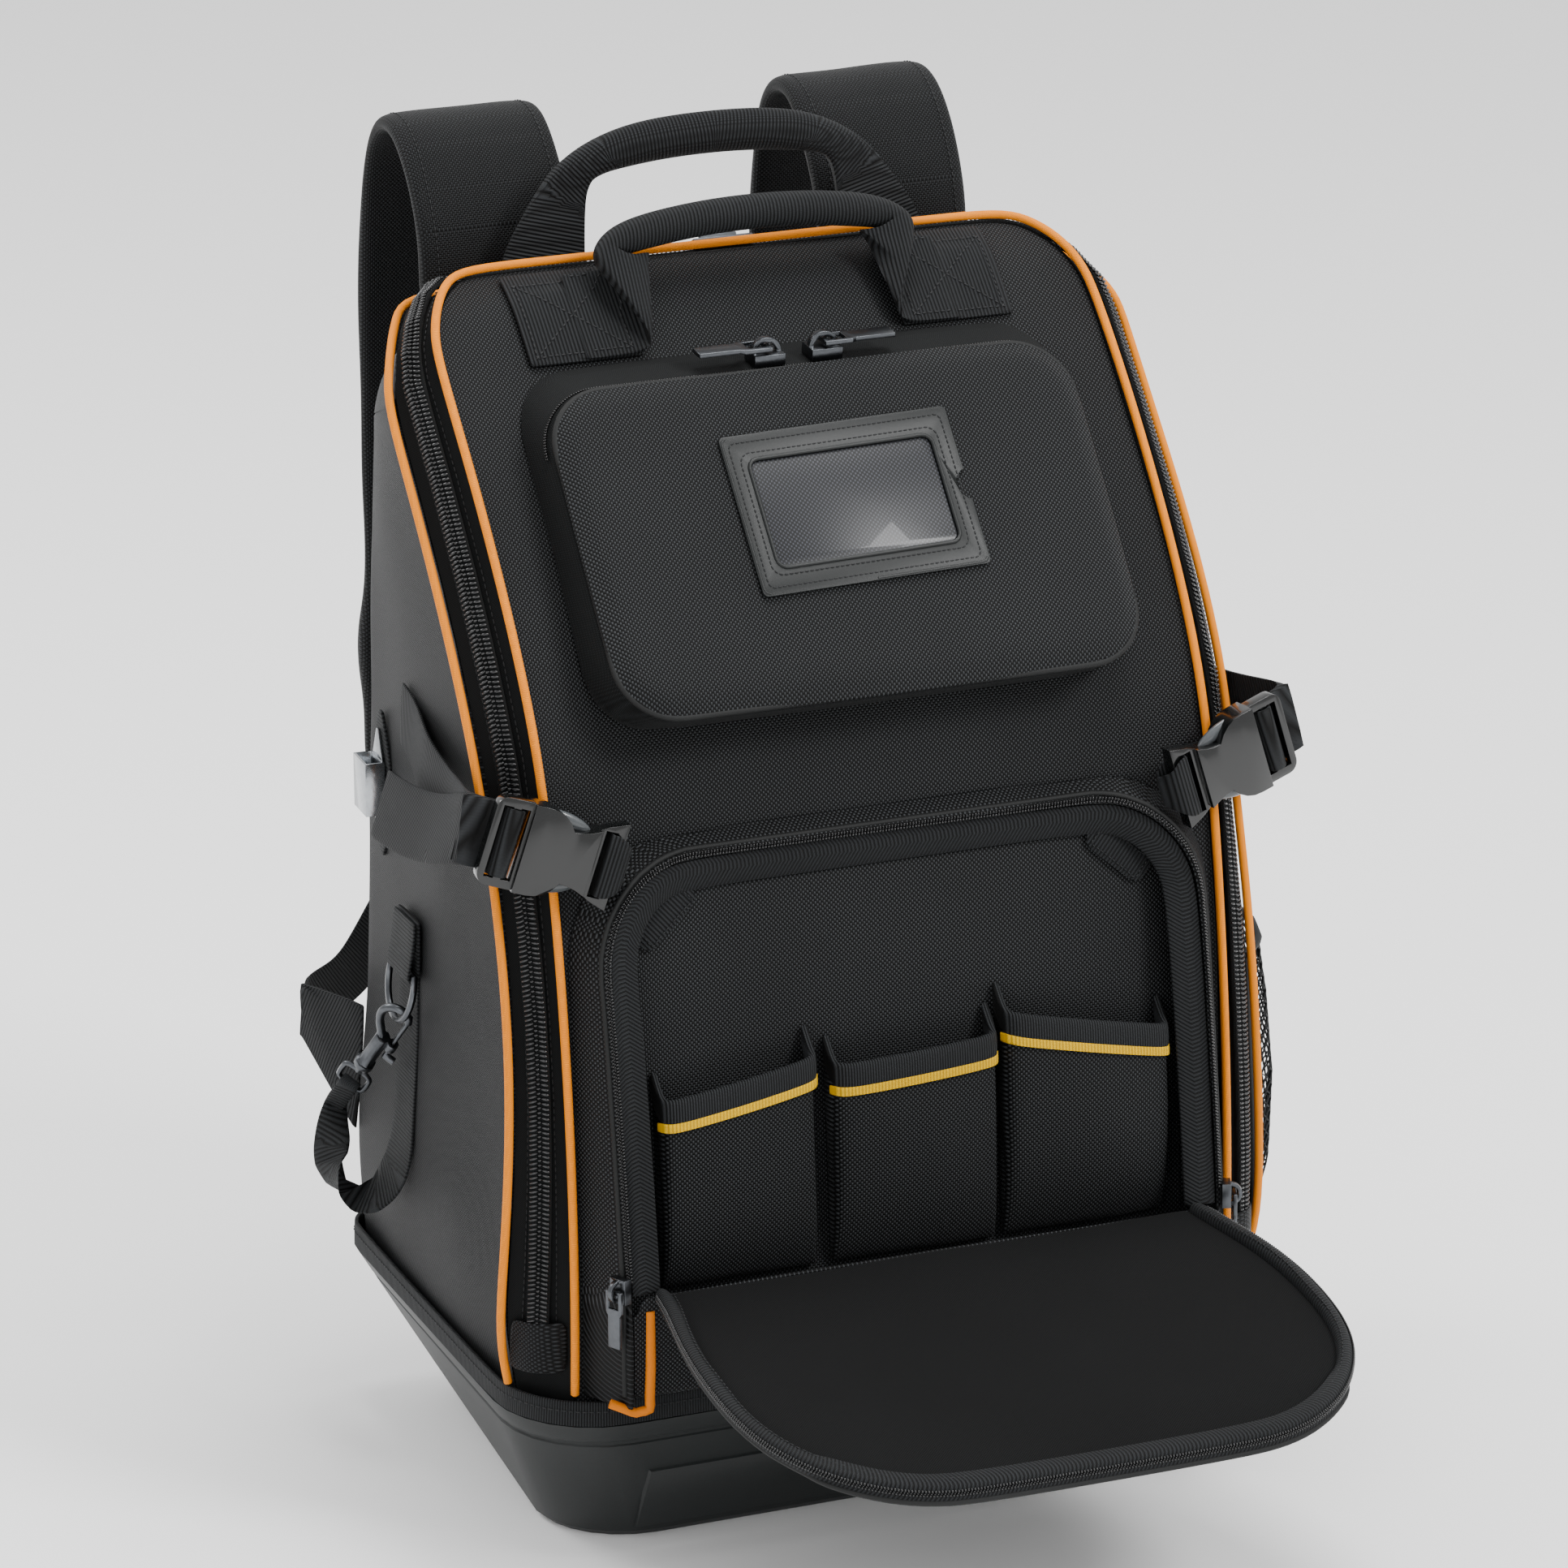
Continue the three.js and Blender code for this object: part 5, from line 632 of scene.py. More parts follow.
def seam_normals(line_a, line_b):
    """Outward directions of the strip between two seams."""
    result = []
    for i, point in enumerate(line_a):
        ahead = line_a[min(i + 1, LAST)] - line_a[max(i - 1, 0)]
        normal = ahead.cross(line_b[i] - point).normalized()
        result.append(normal if normal.dot(point - Vector((0, 0, BAG_HEIGHT * 0.6))) > 0 else -normal)
    return result


gusset_out = seam_normals(front_seam, rear_seam)
ZIP_FACE = 3.3


def gusset_line(share, lift, first=1, last=LAST - 1):
    return [(front_seam[i].lerp(rear_seam[i], share) + gusset_out[i] * lift, gusset_out[i])
            for i in range(first, last + 1)]


sewn("main_zip", zip_tape, front_seam, levels=1)
follow("main_coil", COIL, [gusset_line(0.5, ZIP_FACE + 0.5)], coil_plastic, "zip_coil",
       **{"Pitch": 2.1, "Half width": 4.9, "Wire": 0.72})
follow("gusset_stitches", STITCHES, [gusset_line(0.26, 0.35), gusset_line(0.74, 0.35)], thread_black, "zip_coil",
       Pitch=3.2, Thread=0.6)


def strip(name, rows, thickness, material, route, across=None, body="backpack", levels=1, loop=False):
    """A tape from rows of points across it, given its thickness inwards and rounded."""
    mesh = bpy.data.meshes.new(name)
    wide = len(rows[0])
    count = len(rows) if loop else len(rows) - 1
    faces = []
    for r in range(count):
        here, ahead = r * wide, ((r + 1) % len(rows)) * wide
        faces += [(here + c, here + c + 1, ahead + c + 1, ahead + c) for c in range(wide - 1)]
    mesh.from_pydata([tuple(p * MM) for row in rows for p in row], [], faces)
    piece = bpy.data.objects.new(name, mesh)
    bpy.context.scene.collection.objects.link(piece)
    wall = piece.modifiers.new("Wall", "SOLIDIFY")
    wall.thickness = thickness * MM
    wall.offset = 0
    wall.use_even_offset = True
    smooth = piece.modifiers.new("Rounded", "SUBSURF")
    smooth.levels = smooth.render_levels = levels
    settled(piece)
    shape = bmesh.new()
    shape.from_mesh(piece.data)
    bmesh.ops.recalc_face_normals(shape, faces=shape.faces)
    shape.to_mesh(piece.data)
    shape.free()
    lay(piece.data, route, across)
    shaded(piece.data)
    return dressed(piece, material, body)


seam_tape = plastic("seam tape", "090a0a", 0.8)
under_piping = [(front_seam[i] - gusset_out[i] * 4.6 + Vector((0, 1.2, 0)), gusset_out[i]) for i in range(1, LAST)]
follow("seam_tape", TUBE, [under_piping], seam_tape, "woven_fabric", Radius=2.2, Step=6)

COVER_TALL = 24
for side, legs in (("left", (1, 2)), ("right", (LAST - 1, LAST - 2))):
    low, high = (i for i in legs)
    foot = front_seam[low].lerp(front_seam[high], -0.3)
    rows = []
    for rise in (0, 0.35, 0.7, 1):
        mid = rise * COVER_TALL / (front_seam[high] - front_seam[low]).length - 0.42
        edge_a = front_seam[low].lerp(front_seam[high], mid)
        edge_b = rear_seam[low].lerp(rear_seam[high], mid)
        lifts = ((0.1, 0.5), (0.3, 3.8), (0.5, 5.6), (0.7, 3.8), (0.9, 0.5))
        rows.append([edge_a.lerp(edge_b, share) + gusset_out[low] * lift for share, lift in lifts])
    strip(f"zip_cover_{side}", rows, 1.2, side_cloth, upright, Y_AXIS, levels=2)


# The moulded base is one tough tub with a groove under its rim and a raised field on its front.
# A ribbed binding covers the edge of the cloth, with one row of stitches through it.
def hard(node, material, bevel=0.5, angle=30, levels=0):
    """A hard piece made from a node's shape, with its edges rounded."""
    piece = merged_copy(node + "_made", node, 35)
    if levels:
        smooth = piece.modifiers.new("Rounded", "SUBSURF")
        smooth.levels = smooth.render_levels = levels
    edge = piece.modifiers.new("Edges", "BEVEL")
    edge.width = bevel * MM
    edge.segments = 2
    edge.limit_method = "ANGLE"
    edge.angle_limit = math.radians(angle)
    settled(piece)
    shaded(piece.data, 50)
    return dressed(piece, material, nodes[node]["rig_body"], (node,))


def ribbed(name, dark, light, pitch, depth, roughness=0.6, fine=0.45, tilt=0.0):
    """Webbing and grosgrain: ribs across the strap, broken up by its fine threads."""
    material, tree, shader, place = base_material(name, roughness, 0.02, gloss=0.12)
    uv = put(tree, "ShaderNodeUVMap", -1000, uv_map="lay")
    turn = put(tree, "ShaderNodeMapping", -950)
    turn.inputs["Rotation"].default_value = (0, 0, math.radians(tilt))
    tree.links.new(uv.outputs[0], turn.inputs["Vector"])
    split = put(tree, "ShaderNodeSeparateXYZ", -900)
    tree.links.new(turn.outputs[0], split.inputs[0])
    rib = sums(tree, "ABSOLUTE", sums(tree, "SINE", sums(tree, "MULTIPLY", split.outputs[1], math.pi / pitch / MM)))
    thread = sums(tree, "ABSOLUTE", sums(tree, "SINE", sums(tree, "MULTIPLY", split.outputs[0], math.pi / fine / MM)))
    height = sums(tree, "MULTIPLY", rib, sums(tree, "MULTIPLY_ADD", thread, 0.35, 0.65))
    # By the rib height, the dark colour is painted shade in the grooves and the light colour a painted highlight on the
    # ribs' tops.
    coloured(tree, shader, place, paint(dark), paint(light), sums(tree, "POWER", height, 2.0), 0.5)
    bumped(tree, shader, height, depth)
    return material


tub = plastic("moulded tub", "1c1e1e", 0.45, grain=0.05, grain_size=1500)
# Each tape's first colour is painted shade in its grooves, its second a painted highlight on its ribs.
grosgrain = ribbed("grosgrain", "050505", "2e3032", 1.2, 0.4)
webbing = ribbed("webbing", "050505", "2a2c2e", 1.7, 0.5)
hard("base_tray", tub, bevel=0.7, angle=25)


def plan_line(inset, lift, z_of, steps=10):
    """The base's rounded outline at its rim, as places and outward directions."""
    line = []
    corners = ((179, -121, 45, -90), (175, 118, 22, 0), (-175, 118, 22, 90), (-179, -121, 45, 180))
    for x, y, radius, start in corners:
        for k in range(steps + 1):
            angle = math.radians(start + 90 * k / steps)
            out = Vector((math.cos(angle), math.sin(angle), 0))
            centre = Vector((x - math.copysign(radius, x), y - math.copysign(radius, y), 0))
            place = centre + out * (radius - inset)
            line.append((Vector((place.x, place.y, z_of(place.y) + lift)), out))
    return line


rim_route = [p for p, _ in plan_line(0, 0, rim_z)]
rim = sewn("rim_binding", grosgrain, rim_route + rim_route[:1], levels=2)
lay(rim.data, rim_route + rim_route[:1], Vector((0, 0, 1)))
follow("rim_stitches", STITCHES, [plan_line(-0.45, RIM_BAND * 0.62, rim_z)], thread_black, "webbing",
       closed=True, on=rim, Pitch=3.0, Thread=0.7)


# The domed pocket is a moulded face of ballistic cloth over foam. Its gusset carries a fine coil
# zip with a smooth tape, and two sliders parked at the top.
window_low, window_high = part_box("label_window")
LABEL_MIDDLE = (window_low + window_high) / 2 / MM
POCKET_TILT = math.radians(53.2)
LABEL_RISE, LABEL_SHIFT, LABEL_LIFT = 9.0, 3.0, 6.1
pocket_turn = Matrix.Rotation(POCKET_TILT, 3, "X")
POCKET_AT = LABEL_MIDDLE - pocket_turn @ Vector((LABEL_SHIFT, LABEL_RISE, LABEL_LIFT))


def rounded(half_x, half_y, radius, steps=6):
    """A rounded rectangle from the middle of its foot round by the right side."""
    points = [Vector((0, -half_y, 0))]
    for sx, sy, start in ((1, -1, -90), (1, 1, 0), (-1, 1, 90), (-1, -1, 180)):
        for k in range(steps + 1):
            angle = math.radians(start + 90 * k / steps)
            points.append(Vector((sx * (half_x - radius) + radius * math.cos(angle),
                                  sy * (half_y - radius) + radius * math.sin(angle), 0)))
    return points


def on_pocket(points, height, turn=0.0, shift=(0, 0)):
    """Places on the pocket's own frame, with directions out of its face."""
    out = pocket_turn @ Vector((0, 0, 1))
    spin = Matrix.Rotation(math.radians(turn), 3, "Z")
    place = lambda p: POCKET_AT + pocket_turn @ (spin @ p + Vector((*shift, height)))
    return [(place(p), out) for p in points]


pocket_up = [POCKET_AT + pocket_turn @ Vector((0, y, 0)) for y in (-90, 90)]
pocket_face = sewn("top_pocket_face", ballistic, pocket_up, X_AXIS, levels=3, crease=60,
                   depth=0.7, size=60, seed=8)
sewn("top_pocket_gusset", zip_tape, pocket_up, X_AXIS, levels=2, crease=60)
outline = rounded(123.0, 77.0, 28.0, 8)
zip_part = [p for p in outline if p.y > -45]
right_end = next(i for i, p in enumerate(outline) if p.y > -45)
zip_rows = []
for p in outline[right_end:right_end + len(zip_part)]:
    side = Vector((p.x - math.copysign(min(abs(p.x), 95), p.x), p.y - math.copysign(min(abs(p.y), 49), p.y), 0))
    place = POCKET_AT + pocket_turn @ (p + side.normalized() * 1.7 + Vector((0, 0, -6.2)))
    zip_rows.append((place, pocket_turn @ side.normalized()))
follow("pocket_coil", COIL, [zip_rows], coil_plastic, "zip_coil", **{"Pitch": 1.25, "Half width": 1.5, "Wire": 0.5})
lip = on_pocket(rounded(121.5, 75.5, 26.5, 8), -1.1)
edge_tape = plastic("edge tape", "0d0e0e", 0.7)
follow("pocket_lip", TUBE, [lip], edge_tape, "woven_fabric", closed=True, Radius=1.6, Step=4)


# The card holder on the pocket: a stitched vinyl frame with a raised lip, a thumb notch at its
# right, and a clear window over the cloth.
vinyl = plastic("vinyl", "131515", 0.42, grain=0.06, grain_size=2500)
hard("label_frame", vinyl, bevel=0.35)


def window_finish():
    """A clear sheet: a soft gloss over the weave that shows through it."""
    material, tree, shader, place = base_material("clear window", 0.34, coat=0.1)
    turn = put(tree, "ShaderNodeMapping", -900)
    turn.inputs["Rotation"].default_value = (-POCKET_TILT, 0, 0)
    tree.links.new(place.outputs["Object"], turn.inputs["Vector"])
    weave = put(tree, "ShaderNodeGroup", -700, node_tree=WOVEN)
    weave.inputs["Thread"].default_value = CLOTH_THREAD * MM
    tree.links.new(turn.outputs[0], weave.inputs["Vector"])
    # The weave under the sheet is painted with painted shade in its gaps and a painted highlight on its threads' tops.
    coloured(tree, shader, place, paint("0b0c0e"), paint("3c3e44"), weave.outputs["Top"], 0.4)
    return material


hard("label_window", window_finish(), bevel=0.15)
shift = (LABEL_SHIFT, LABEL_RISE)
for name, half_x, half_y, radius in (("outer", 50.0, 33.5, 3.0), ("inner", 46.3, 28.3, 5.0)):
    follow(f"label_stitches_{name}", STITCHES, [on_pocket(rounded(half_x, half_y, radius), 7.1, 1.5, shift)],
           thread_black, "vinyl", closed=True, Pitch=2.4, Thread=0.7)
follow("label_lip", TUBE, [on_pocket(rounded(43.2, 25.2, 4.5), 6.9, 1.5, shift)], vinyl, "vinyl", closed=True,
       Radius=0.9, Step=2)
follow("label_edge", TUBE, [on_pocket(rounded(52.6, 36.1, 2.5)[:7], 6.6, 1.5, shift),
                            on_pocket(rounded(52.6, 36.1, 2.5)[16:], 6.6, 1.5, shift)], vinyl, "vinyl",
       Radius=0.8, Step=2)


# Zip sliders and their pulls are cast and plated dark. The pulls swing on their sliders.
def metal(name, colour, roughness):
    material, tree, shader, place = base_material(name, roughness, metallic=1.0)
    haze = put(tree, "ShaderNodeTexNoise", -700)
    haze.inputs["Scale"].default_value = 400
    tree.links.new(place.outputs["Object"], haze.inputs["Vector"])
    bright = tuple(min(c * 1.6, 1) for c in paint(colour)[:3]) + (1,)
    coloured(tree, shader, place, paint(colour), bright, haze.outputs[0], 0.3)
    bumped(tree, shader, haze.outputs[0], 0.04)
    return material


dark_metal = metal("dark plated metal", "47494c", 0.32)
hard("main_slider", dark_metal, bevel=0.5)
for where in ("pocket", "organiser"):
    for side in ("left", "right"):
        hard(f"{where}_slider_{side}", dark_metal, bevel=0.4)
        hard(f"{where}_pull_{side}", dark_metal, bevel=0.3)


# The organiser: a gusset that rises from the front to a zipped rim, a bound tape inside it, a
# padded back with two corner tabs, and a low wall under the fold of the flap.
ORGANISER_TOP, ORGANISER_HALF, ORGANISER_CORNER, FOLD_Z = 304.0, 140.0, 45.0, 123.0
ORGANISER_FOOT = rim_z(front_y(RIM_FRONT)) + RIM_BAND + 0.6


def organiser_y(z):
    share = min(max((ORGANISER_TOP - z) / (ORGANISER_TOP - FOLD_Z), 0), 1) ** 0.55
    return front_y(ORGANISER_TOP) - 9 + share * (front_y(FOLD_Z) - 27 - front_y(ORGANISER_TOP) + 9)


def arch(inset, foot, back, steps=9):
    """The organiser's rim from its left foot over the top, as places and directions out of it."""
    shoulder = ORGANISER_TOP - ORGANISER_CORNER
    radius = ORGANISER_CORNER - inset
    left = [(-ORGANISER_HALF + inset, foot + (shoulder - foot) * k / 10, Vector((-1, 0, 0))) for k in range(10)]
    for k in range(steps + 1):
        angle = k / steps * math.pi / 2
        x = -(ORGANISER_HALF - ORGANISER_CORNER) - radius * math.cos(angle)
        left.append((x, shoulder + radius * math.sin(angle), Vector((-math.cos(angle), 0, math.sin(angle)))))
    full = left + [(0, ORGANISER_TOP - inset, Vector((0, 0, 1)))]
    full += [(-x, z, Vector((-n.x, 0, n.z))) for x, z, n in reversed(left)]
    return [(Vector((x, organiser_y(z + inset) + back, z)), n) for x, z, n in full]


# Its darker colour is painted shade in the grooves, its lighter one a painted highlight on the ribs.
organiser_tape = ribbed("herringbone tape", "060606", "26282a", 1.5, 0.35, tilt=35)
rim_line = [p for p, _ in arch(8, FOLD_Z, 2)]
sewn("organiser_gusset", ballistic, rim_line, levels=2, crease=60, depth=0.6, size=40, seed=11)
sewn("organiser_front", ballistic, upright, X_AXIS, depth=1.0, size=50, seed=12)
sewn("organiser_flange", organiser_tape, rim_line, levels=2, crease=60)
organiser_pad = sewn("organiser_back", ballistic, front_profile, X_AXIS, levels=2, depth=0.8, size=70)
rim_zip = [(p, Vector((n.x, -1, n.z)).normalized()) for p, n in arch(0.6, FOLD_Z + 8, -0.3)]
follow("organiser_coil", COIL, [rim_zip], coil_plastic, "zip_coil", **{"Pitch": 1.4, "Half width": 1.6, "Wire": 0.55})
rim_cord = [(p, n) for p, n in arch(-1.2, ORGANISER_FOOT + 6, 3.0)]
follow("organiser_edge", TUBE, [rim_cord], edge_tape, "woven_fabric", Radius=1.3, Step=5)
orange_run = [Vector((-130.3, -135.5, 116)), Vector((-130.6, -136.5, 92)), Vector((-131.4, -136.5, 72)),
              Vector((-137, -134, 70.5)), Vector((-147, -130.5, 75))]
follow("organiser_piping", TUBE, [[(p, Vector((0, -1, 0))) for p in orange_run]], orange_tape, "orange_piping",
       Radius=2.2, Step=2)
TAB_X, TAB_Z, TAB_LIFT = 107, 278, 4.6
for name, side in (("left", -1), ("right", 1)):
    face_out = front_normal(TAB_Z)
    middle = on_front(side * TAB_X, TAB_Z, TAB_LIFT)
    slope = Vector((side * math.cos(math.radians(42)), 0, -math.sin(math.radians(42))))
    across = slope.cross(face_out).normalized()
    slope = face_out.cross(across).normalized()
    rows = [[middle + slope * a + across * b for b in (-7.5, 0, 7.5)] for a in (-17, -6, 6, 17)]
    strip(f"corner_tab_{name}", rows, 1.3, webbing, [rows[0][1], rows[-1][1]], across)
    sewn_box = [middle + slope * a + across * b + face_out * 0.9 for a, b in ((-13, -5), (13, -5), (13, 5), (-13, 5))]
    follow(f"tab_stitches_{name}", STITCHES, [[(p, face_out) for p in sewn_box]], thread_black, "webbing",
           closed=True, Pitch=2.4, Thread=0.6)


# Three tool pockets of cloth stand on the organiser's back. A black binding folds over each mouth
# and a yellow ribbed trim is sewn on under it.
TOOL_POCKETS = {"left": (-117, -45, -10, 1), "middle": (-37, 40, -5, -1), "right": (44, 122, 7, -9)}
MOUTH_Z, PROUD, BACKING = 212.0, 15.0, 3.4
# The darker yellow is painted shade in the trim's grooves, the lighter yellow a painted highlight on its ribs.
yellow_trim = ribbed("yellow trim", "b98c00", "e6ba08", 1.5, 0.4)


def pocket_plan(start, end, offset):
    """A tool pocket's plan from its left seam round its front to its right seam."""
    half = [(start - offset, 0), (start - offset, PROUD - 7), (start + 2.1 - 0.7 * offset, PROUD - 2.1 + 0.7 * offset),
            (start + 7, PROUD + offset), (start + 20, PROUD + 0.9 + offset)]
    middle = [((start + end) / 2, PROUD + 1.5 + offset)]
    return half + middle + [(start + end - x, out) for x, out in reversed(half)]


for side, (start, end, low, high) in TOOL_POCKETS.items():
    level = [Vector((start, -120, 200)), Vector((end, -120, 200))]
    sewn(f"tool_pocket_{side}", ballistic, front_profile, X_AXIS, levels=2, crease=60, depth=1.2,
         size=45, seed=start)
    sewn(f"pocket_trim_{side}", yellow_trim, level, Vector((0, 0, 1)), levels=2, crease=60)
    rows = []
    for index, (x, out) in enumerate(pocket_plan(start, end, 0)):
        share = min(max((x - start) / (end - start), 0), 1)
        z = MOUTH_Z + low + (high - low) * share + (10 if out < 1 else 0)
        inward = [pocket_plan(start, end, offset)[index] for offset in (0.9, 0.9, 0.3, -1.9, -2.5, -2.5)]
        drops = (9.5, 1, -0.8, -0.8, 1, 9.5)
        row = []
        for (px, pout), drop in zip(inward, drops):
            face = on_front(px, z - drop, 0).y
            row.append(Vector((px, face - BACKING - max(pout, 0.4), z - drop)))
        rows.append(row)
    strip(f"mouth_binding_{side}", rows, 0.7, grosgrain, level, Vector((0, 0, 1)), levels=2)


# The flap hangs forward from its fold: a smooth knitted lining in a raised padded rim, whose outer
# edge carries the other half of the organiser's zip.
FLAP_LENGTH, FLAP_HALF, FLAP_ROOT, FLAP_CORNER, FLAP_DROP = 184.0, 142.0, 130.0, 80.0, 34.0


def flap_line(inset, lift, out_lift=0.0):
    """The flap's outline from its left root round its far edge, drawn in by an inset."""
    straight, radius = FLAP_LENGTH - FLAP_CORNER, FLAP_CORNER - inset
    left = []
    for k in range(9):
        reach = straight * k / 9
        t = min(reach / (FLAP_LENGTH * 0.4), 1)
        half = FLAP_ROOT + (FLAP_HALF - FLAP_ROOT) * t * t * (3 - 2 * t)
        left.append((inset - half, reach, Vector((-1, 0, 0))))
    for k in range(13):
        angle = k / 12 * math.pi / 2
        left.append((FLAP_CORNER - FLAP_HALF - radius * math.cos(angle), straight + radius * math.sin(angle),
                     Vector((-math.cos(angle), -math.sin(angle), 0))))
    full = left + [(-x, reach, Vector((-n.x, n.y, 0))) for x, reach, n in reversed(left)]
    line = []
    for x, reach, n in full:
        z = FOLD_Z - FLAP_DROP * (reach / FLAP_LENGTH) ** 1.6 + lift
        line.append((Vector((x, organiser_y(FOLD_Z) - 0.6 - reach, z)) + n * out_lift, n))
    return line


# The lining's darker colour is painted shade between its threads, its lighter one a painted highlight on them.
lining = cloth("knitted lining", "050505", "1c1d1e", 0.6, 0.15, 0.85, 0.01)
flap_route = [Vector((0, -135, 123)), Vector((0, -320, 89))]
flap = sewn("flap_panel", lining, flap_route, X_AXIS, levels=3, crease=60, depth=1.6, size=80, seed=6)
fold_y = organiser_y(FOLD_Z)
points = coordinates(flap.data)
points[:, 0] *= 1.010
points[:, 1] += (points[:, 1] - fold_y * MM) * 0.008
flap.data.vertices.foreach_set("co", points.ravel())
flap.data.update()
flap_outline = [p for p, _ in flap_line(4, 2)]
flap_rim = sewn("flap_rim", organiser_tape, flap_outline, levels=2, crease=100)
follow("flap_coil", COIL, [flap_line(0, 1.5)], coil_plastic, "zip_coil", on=flap_rim, lift=0.3,
       **{"Pitch": 1.4, "Half width": 1.6, "Wire": 0.55})
follow("flap_edge", TUBE, [flap_line(0, -2.8)], edge_tape, "woven_fabric", on=flap_rim, lift=-0.4,
       Radius=1.3, Step=5)
follow("flap_stitches", STITCHES, [flap_line(6.2, 4.6)[1:-1]], thread_black, "webbing", Pitch=3, Thread=0.6)


# Both handles are folded webbing: flat patches sewn with a box and a cross, and a grip rolled
# round a soft core. The haul handle behind is sewn into the gusset.
HANDLE_BOTTOM, HANDLE_TOP, HANDLE_OUTER, HANDLE_INNER = 489.0, 520.0, 114.0, 61.0
front_grip = sewn("front_handle", webbing, [Vector((-114, 40, 505)), Vector((114, 40, 505))],
     Vector((0, 0.6, 0.8)), levels=2, crease=62)
haul_route = [Vector((-81, 92, 512)), Vector((-72, 95, 545)), Vector((-50, 97, 566)), Vector((0, 98, 573)),
              Vector((50, 97, 566)), Vector((72, 95, 545)), Vector((81, 92, 512))]
sewn("haul_handle", webbing, haul_route, Y_AXIS, levels=2, crease=62)
for side in (-1, 1):
    inner, outer = side * (HANDLE_INNER + 6), side * (HANDLE_OUTER - 4)
    corners = [(outer, HANDLE_BOTTOM + 3), (inner, HANDLE_BOTTOM + 3), (inner, HANDLE_TOP - 3), (outer, HANDLE_TOP - 3)]
    sewn_line = lambda pairs: [(on_front(x, z, 2.3), front_normal(z)) for x, z in pairs]
    cross = [[corners[0], corners[2]], [corners[1], corners[3]]]
    name = "left" if side < 0 else "right"
    follow(f"handle_box_{name}", STITCHES, [sewn_line(corners)], thread_black, "webbing", closed=True,
           on=front_grip, Pitch=3, Thread=0.8)
    follow(f"handle_cross_{name}", STITCHES, [sewn_line(pair) for pair in cross], thread_black, "webbing",
           on=front_grip, Pitch=3, Thread=0.8)


# Two padded shoulder straps arch over the top from the back seam. Each is bound round a foam core,
# with a keeper loop near its end, and webbing runs from there to a wing sewn into the back seam.
STRAP_MIDDLE, STRAP_HALF = 94.5, 37.5
STRAP_ROUTE = [(109, 495.5), (107, 513), (110.4, 531), (119, 547.8), (129.6, 563), (141, 571.8), (152.7, 573.5),
               (165, 569.6), (172.8, 557.8), (178, 538), (182.8, 508), (185.8, 459.6), (186.6, 412.8),
               (185, 362), (188, 319), (189.7, 290.6), (188.9, 262)]
# The strap cloth's darker colour is painted shade between its threads, its lighter one a painted highlight on them.
strap_cloth = cloth("strap cloth", "050505", "282a2c", SIDE_THREAD, 0.35)
for name, side in (("left", -1), ("right", 1)):
    route = [Vector((side * STRAP_MIDDLE, y, z)) for y, z in STRAP_ROUTE]
    strap = sewn(f"shoulder_strap_{name}", strap_cloth, route, X_AXIS, levels=3, crease=100,
                 depth=1.2, size=50, seed=20 + side)
    sewn(f"strap_wing_{name}", webbing, [Vector((side * 170, 100, 150)), Vector((side * 175, 150, 175)),
         Vector((side * 120, 185, 230)), Vector((side * STRAP_MIDDLE, 189, 262))], levels=2, crease=50)
    lines = []
    for edge in (-1, 1):
        line = []
        for before, (y, z), after in zip(STRAP_ROUTE, STRAP_ROUTE[1:], STRAP_ROUTE[2:]):
            out = Vector((0, before[1] - after[1], after[0] - before[0])).normalized()
            line.append((Vector((side * STRAP_MIDDLE + edge * (STRAP_HALF - 8), y, z)) + out * 4, out))
        lines.append(line)
    follow(f"strap_stitches_{name}", STITCHES, lines, thread_black, "woven_fabric", on=strap, Pitch=3, Thread=0.7)


# Side straps pull the bag together: webbing from the side, through the ladder of a moulded
# side-release buckle whose far end is held at the organiser's corner.
gloss = plastic("gloss plastic", "060707", 0.24, coat=0.5, grain=0.03, grain_size=1200)
grey_gloss = plastic("grey gloss plastic", "3b3e40", 0.3, coat=0.4)
BUCKLE_AT = Vector((-187, -99.8, 324))
buckle_a = Vector((0.943, -0.112, -0.311)).normalized()
buckle_c = Vector((-0.122, -0.989, -0.0135)).normalized()
buckle_b = buckle_c.cross(buckle_a).normalized()
for name, side in (("left", 1), ("right", -1)):
    mirror = Matrix.Diagonal((side, 1, 1))
    level = [mirror @ Vector((-178, 50, 336)), mirror @ Vector((-185, -60, 322)), mirror @ Vector((-187, -112, 322))]
    sewn(f"side_strap_{name}", webbing, level, Vector((0, 0, 1)), levels=2, crease=60)
    ends = [mirror @ (BUCKLE_AT + buckle_a * a) for a in (40, 75)]
    sewn(f"buckle_webbing_{name}", webbing, ends, mirror @ buckle_b, levels=2, crease=60)
    hard(f"buckle_{name}", gloss, bevel=0.9, angle=35)
    prongs = bmesh.new()
    for edge in (-1, 1):
        bmesh.ops.create_uvsphere(prongs, u_segments=16, v_segments=10, radius=1.0)
        fresh = [v for v in prongs.verts if not v.tag]
        for vertex in fresh:
            local = vertex.co.copy()
            place = BUCKLE_AT + buckle_a * (33.5 + 10 * local.x + edge * 2.2 * local.y)
            place += buckle_b * edge * (14.6 - 0.28 * 10 * local.x + 2.6 * local.y * edge) + buckle_c * 2.0 * local.z
            vertex.co = mirror @ place * MM
            vertex.tag = True
    bmesh.ops.recalc_face_normals(prongs, faces=prongs.faces)
    mesh = bpy.data.meshes.new(f"buckle_prongs_{name}")
    prongs.to_mesh(mesh)
    prongs.free()
    shaded(mesh)
    piece = bpy.data.objects.new(mesh.name, mesh)
    bpy.context.scene.collection.objects.link(piece)
    dressed(piece, grey_gloss)


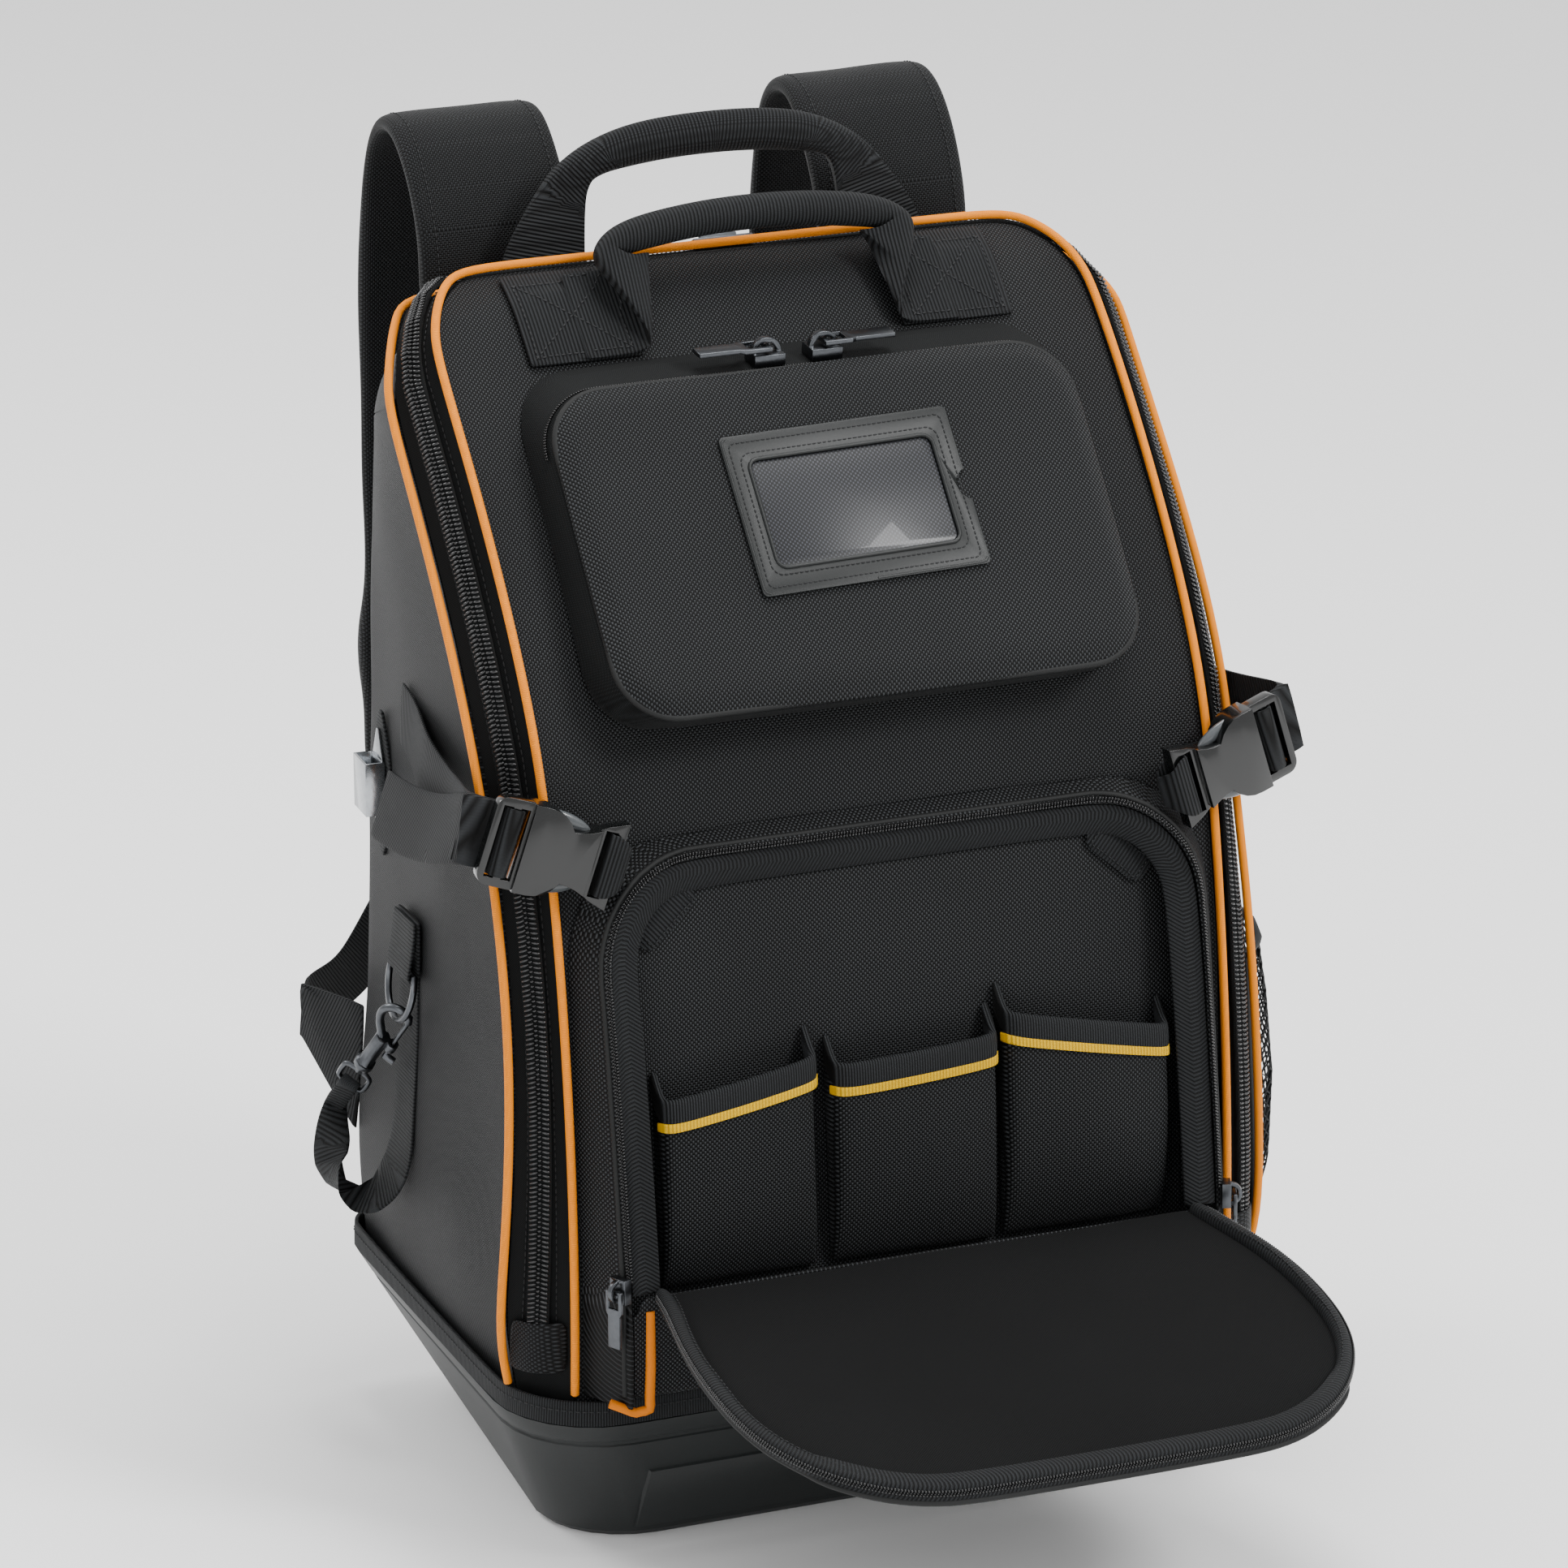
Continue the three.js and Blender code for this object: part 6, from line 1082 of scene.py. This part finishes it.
# The left side carries a tool leash: sewn-down webbing, a ring in its folded tab, and a snap hook
# on the leash's free end that is clipped to the ring. Behind it a steel clip stands on a patch.
leash_route = [Vector(p) for p in ((-181, 35, 246), (-180, 37, 131), (-185, 43, 120), (-192, 52, 116),
                                   (-198, 63, 124), (-196, 70, 134), (-190, 66, 160))]
leash = sewn("leash", webbing, leash_route, Y_AXIS, levels=2, crease=60)
sewn("ring_tab", webbing, [Vector((-180, 31, 250)), Vector((-180, 31, 220))], Y_AXIS, levels=2, crease=60)
sewn("clip_patch", webbing, [Vector((-178, 76, 260)), Vector((-178, 76, 330))], Y_AXIS, levels=2)
for node in ("d_ring", "snap_hook", "hook_trigger", "hook_eye"):
    hard(node, dark_metal, bevel=0.25, angle=50, levels=1)
hard("tape_clip", metal("bright steel", "8d9093", 0.18), bevel=0.3)


# The net pocket of the right side: an open net of knitted threads between a bound mouth and the
# seams, bulged out from the side.
net_node = merged_copy("net_shape", "mesh_pocket", 180)
NET_HOLE, NET_THREAD = 3.2, 0.9
net_cloth = plastic("net thread", "111213", 0.7)
low_corner, high_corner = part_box("mesh_pocket")
bpy.context.view_layer.update()


def net_height(y, z):
    """The place on the pocket's outer face at a height and depth of the side."""
    hit, place, normal, index = net_node.ray_cast(Vector((0.4, y, z)), Vector((-1, 0, 0)))
    return place if hit else None


grid = bmesh.new()
columns = int((high_corner.y - low_corner.y - 0.003) / (NET_HOLE * MM))
rows = int((high_corner.z - low_corner.z - 0.003) / (NET_HOLE * MM))
made = {}
for r in range(rows + 1):
    for c in range(columns + 1):
        y = low_corner.y + 0.0015 + c * NET_HOLE * MM
        z = low_corner.z + 0.0015 + r * NET_HOLE * MM
        place = net_height(y, z)
        if place is not None:
            made[r, c] = grid.verts.new(place)
for (r, c), corner in made.items():
    if (r + c) % 2:
        continue
    around = [made.get(key) for key in ((r, c), (r + 1, c + 1), (r + 2, c), (r + 1, c - 1))]
    if None not in around:
        grid.faces.new(around)
loose = [v for v in grid.verts if not v.link_faces]
bmesh.ops.delete(grid, geom=loose, context="VERTS")
bmesh.ops.recalc_face_normals(grid, faces=grid.faces)
mesh = bpy.data.meshes.new("net")
grid.to_mesh(mesh)
grid.free()
net = bpy.data.objects.new("net", mesh)
bpy.context.scene.collection.objects.link(net)
threads = net.modifiers.new("Threads", "WIREFRAME")
threads.thickness = NET_THREAD * MM
threads.use_even_offset = False
settled(net)
shaded(net.data, 60)
dressed(net, net_cloth, "backpack", ("mesh_pocket",))
top_line, foot_line, seam_lines = [], [], []
for k in range(25):
    y = low_corner.y + 0.001 + (high_corner.y - low_corner.y - 0.002) * k / 24
    for line, z in ((top_line, high_corner.z - 0.0015), (foot_line, low_corner.z + 0.002)):
        place = net_height(y, z)
        if place is not None:
            line.append((place / MM, Vector((1, 0, 0))))
for y in (low_corner.y + 0.001, high_corner.y - 0.001):
    line = []
    for k in range(9):
        place = net_height(y, low_corner.z + 0.002 + (high_corner.z - low_corner.z - 0.004) * k / 8)
        if place is not None:
            line.append((place / MM, Vector((1, 0, 0))))
    seam_lines.append(line)
bpy.data.objects.remove(net_node)
net_edges = [line for line in (top_line, foot_line, *seam_lines) if len(line) > 2]
follow("net_binding", TUBE, net_edges, plastic("net binding", "121314", 0.75), "webbing", Radius=2.0, Step=4)


# A plain pale floor, a white studio round it and four soft lights.
floor_mesh = bpy.data.meshes.new("floor")
FLOOR = 30
floor_mesh.from_pydata([(-FLOOR, -FLOOR, 0), (FLOOR, -FLOOR, 0), (FLOOR, FLOOR, 0), (-FLOOR, FLOOR, 0)], [],
                       [(0, 1, 2, 3)])
floor = bpy.data.objects.new("floor", floor_mesh)
bpy.context.scene.collection.objects.link(floor)
pale, tree, shader, place = base_material("studio floor", 0.9)
shader.inputs["Base Color"].default_value = (0.92, 0.92, 0.92, 1)
floor.data.materials.append(pale)
world = bpy.context.scene.world or bpy.data.worlds.new("studio")
bpy.context.scene.world = world
world.use_nodes = True
world.node_tree.nodes["Background"].inputs["Color"].default_value = (1, 1, 1, 1)
world.node_tree.nodes["Background"].inputs["Strength"].default_value = 1.1
LIGHTS = (("key", (1.7, -2.2, 2.6), 1.0, 95), ("fill", (-2.2, -2.2, 1.2), 1.6, 22),
          ("rim", (-1.6, 2.0, 2.2), 1.0, 40), ("top", (0.3, 0.1, 2.8), 1.2, 60))
for name, at, size, power in LIGHTS:
    light = bpy.data.objects.new(name, bpy.data.lights.new(name, "AREA"))
    light.data.size = size
    light.data.energy = power
    light.location = at
    light.rotation_euler = (Vector((0, 0, 0.25)) - Vector(at)).to_track_quat("-Z", "Y").to_euler()
    bpy.context.scene.collection.objects.link(light)
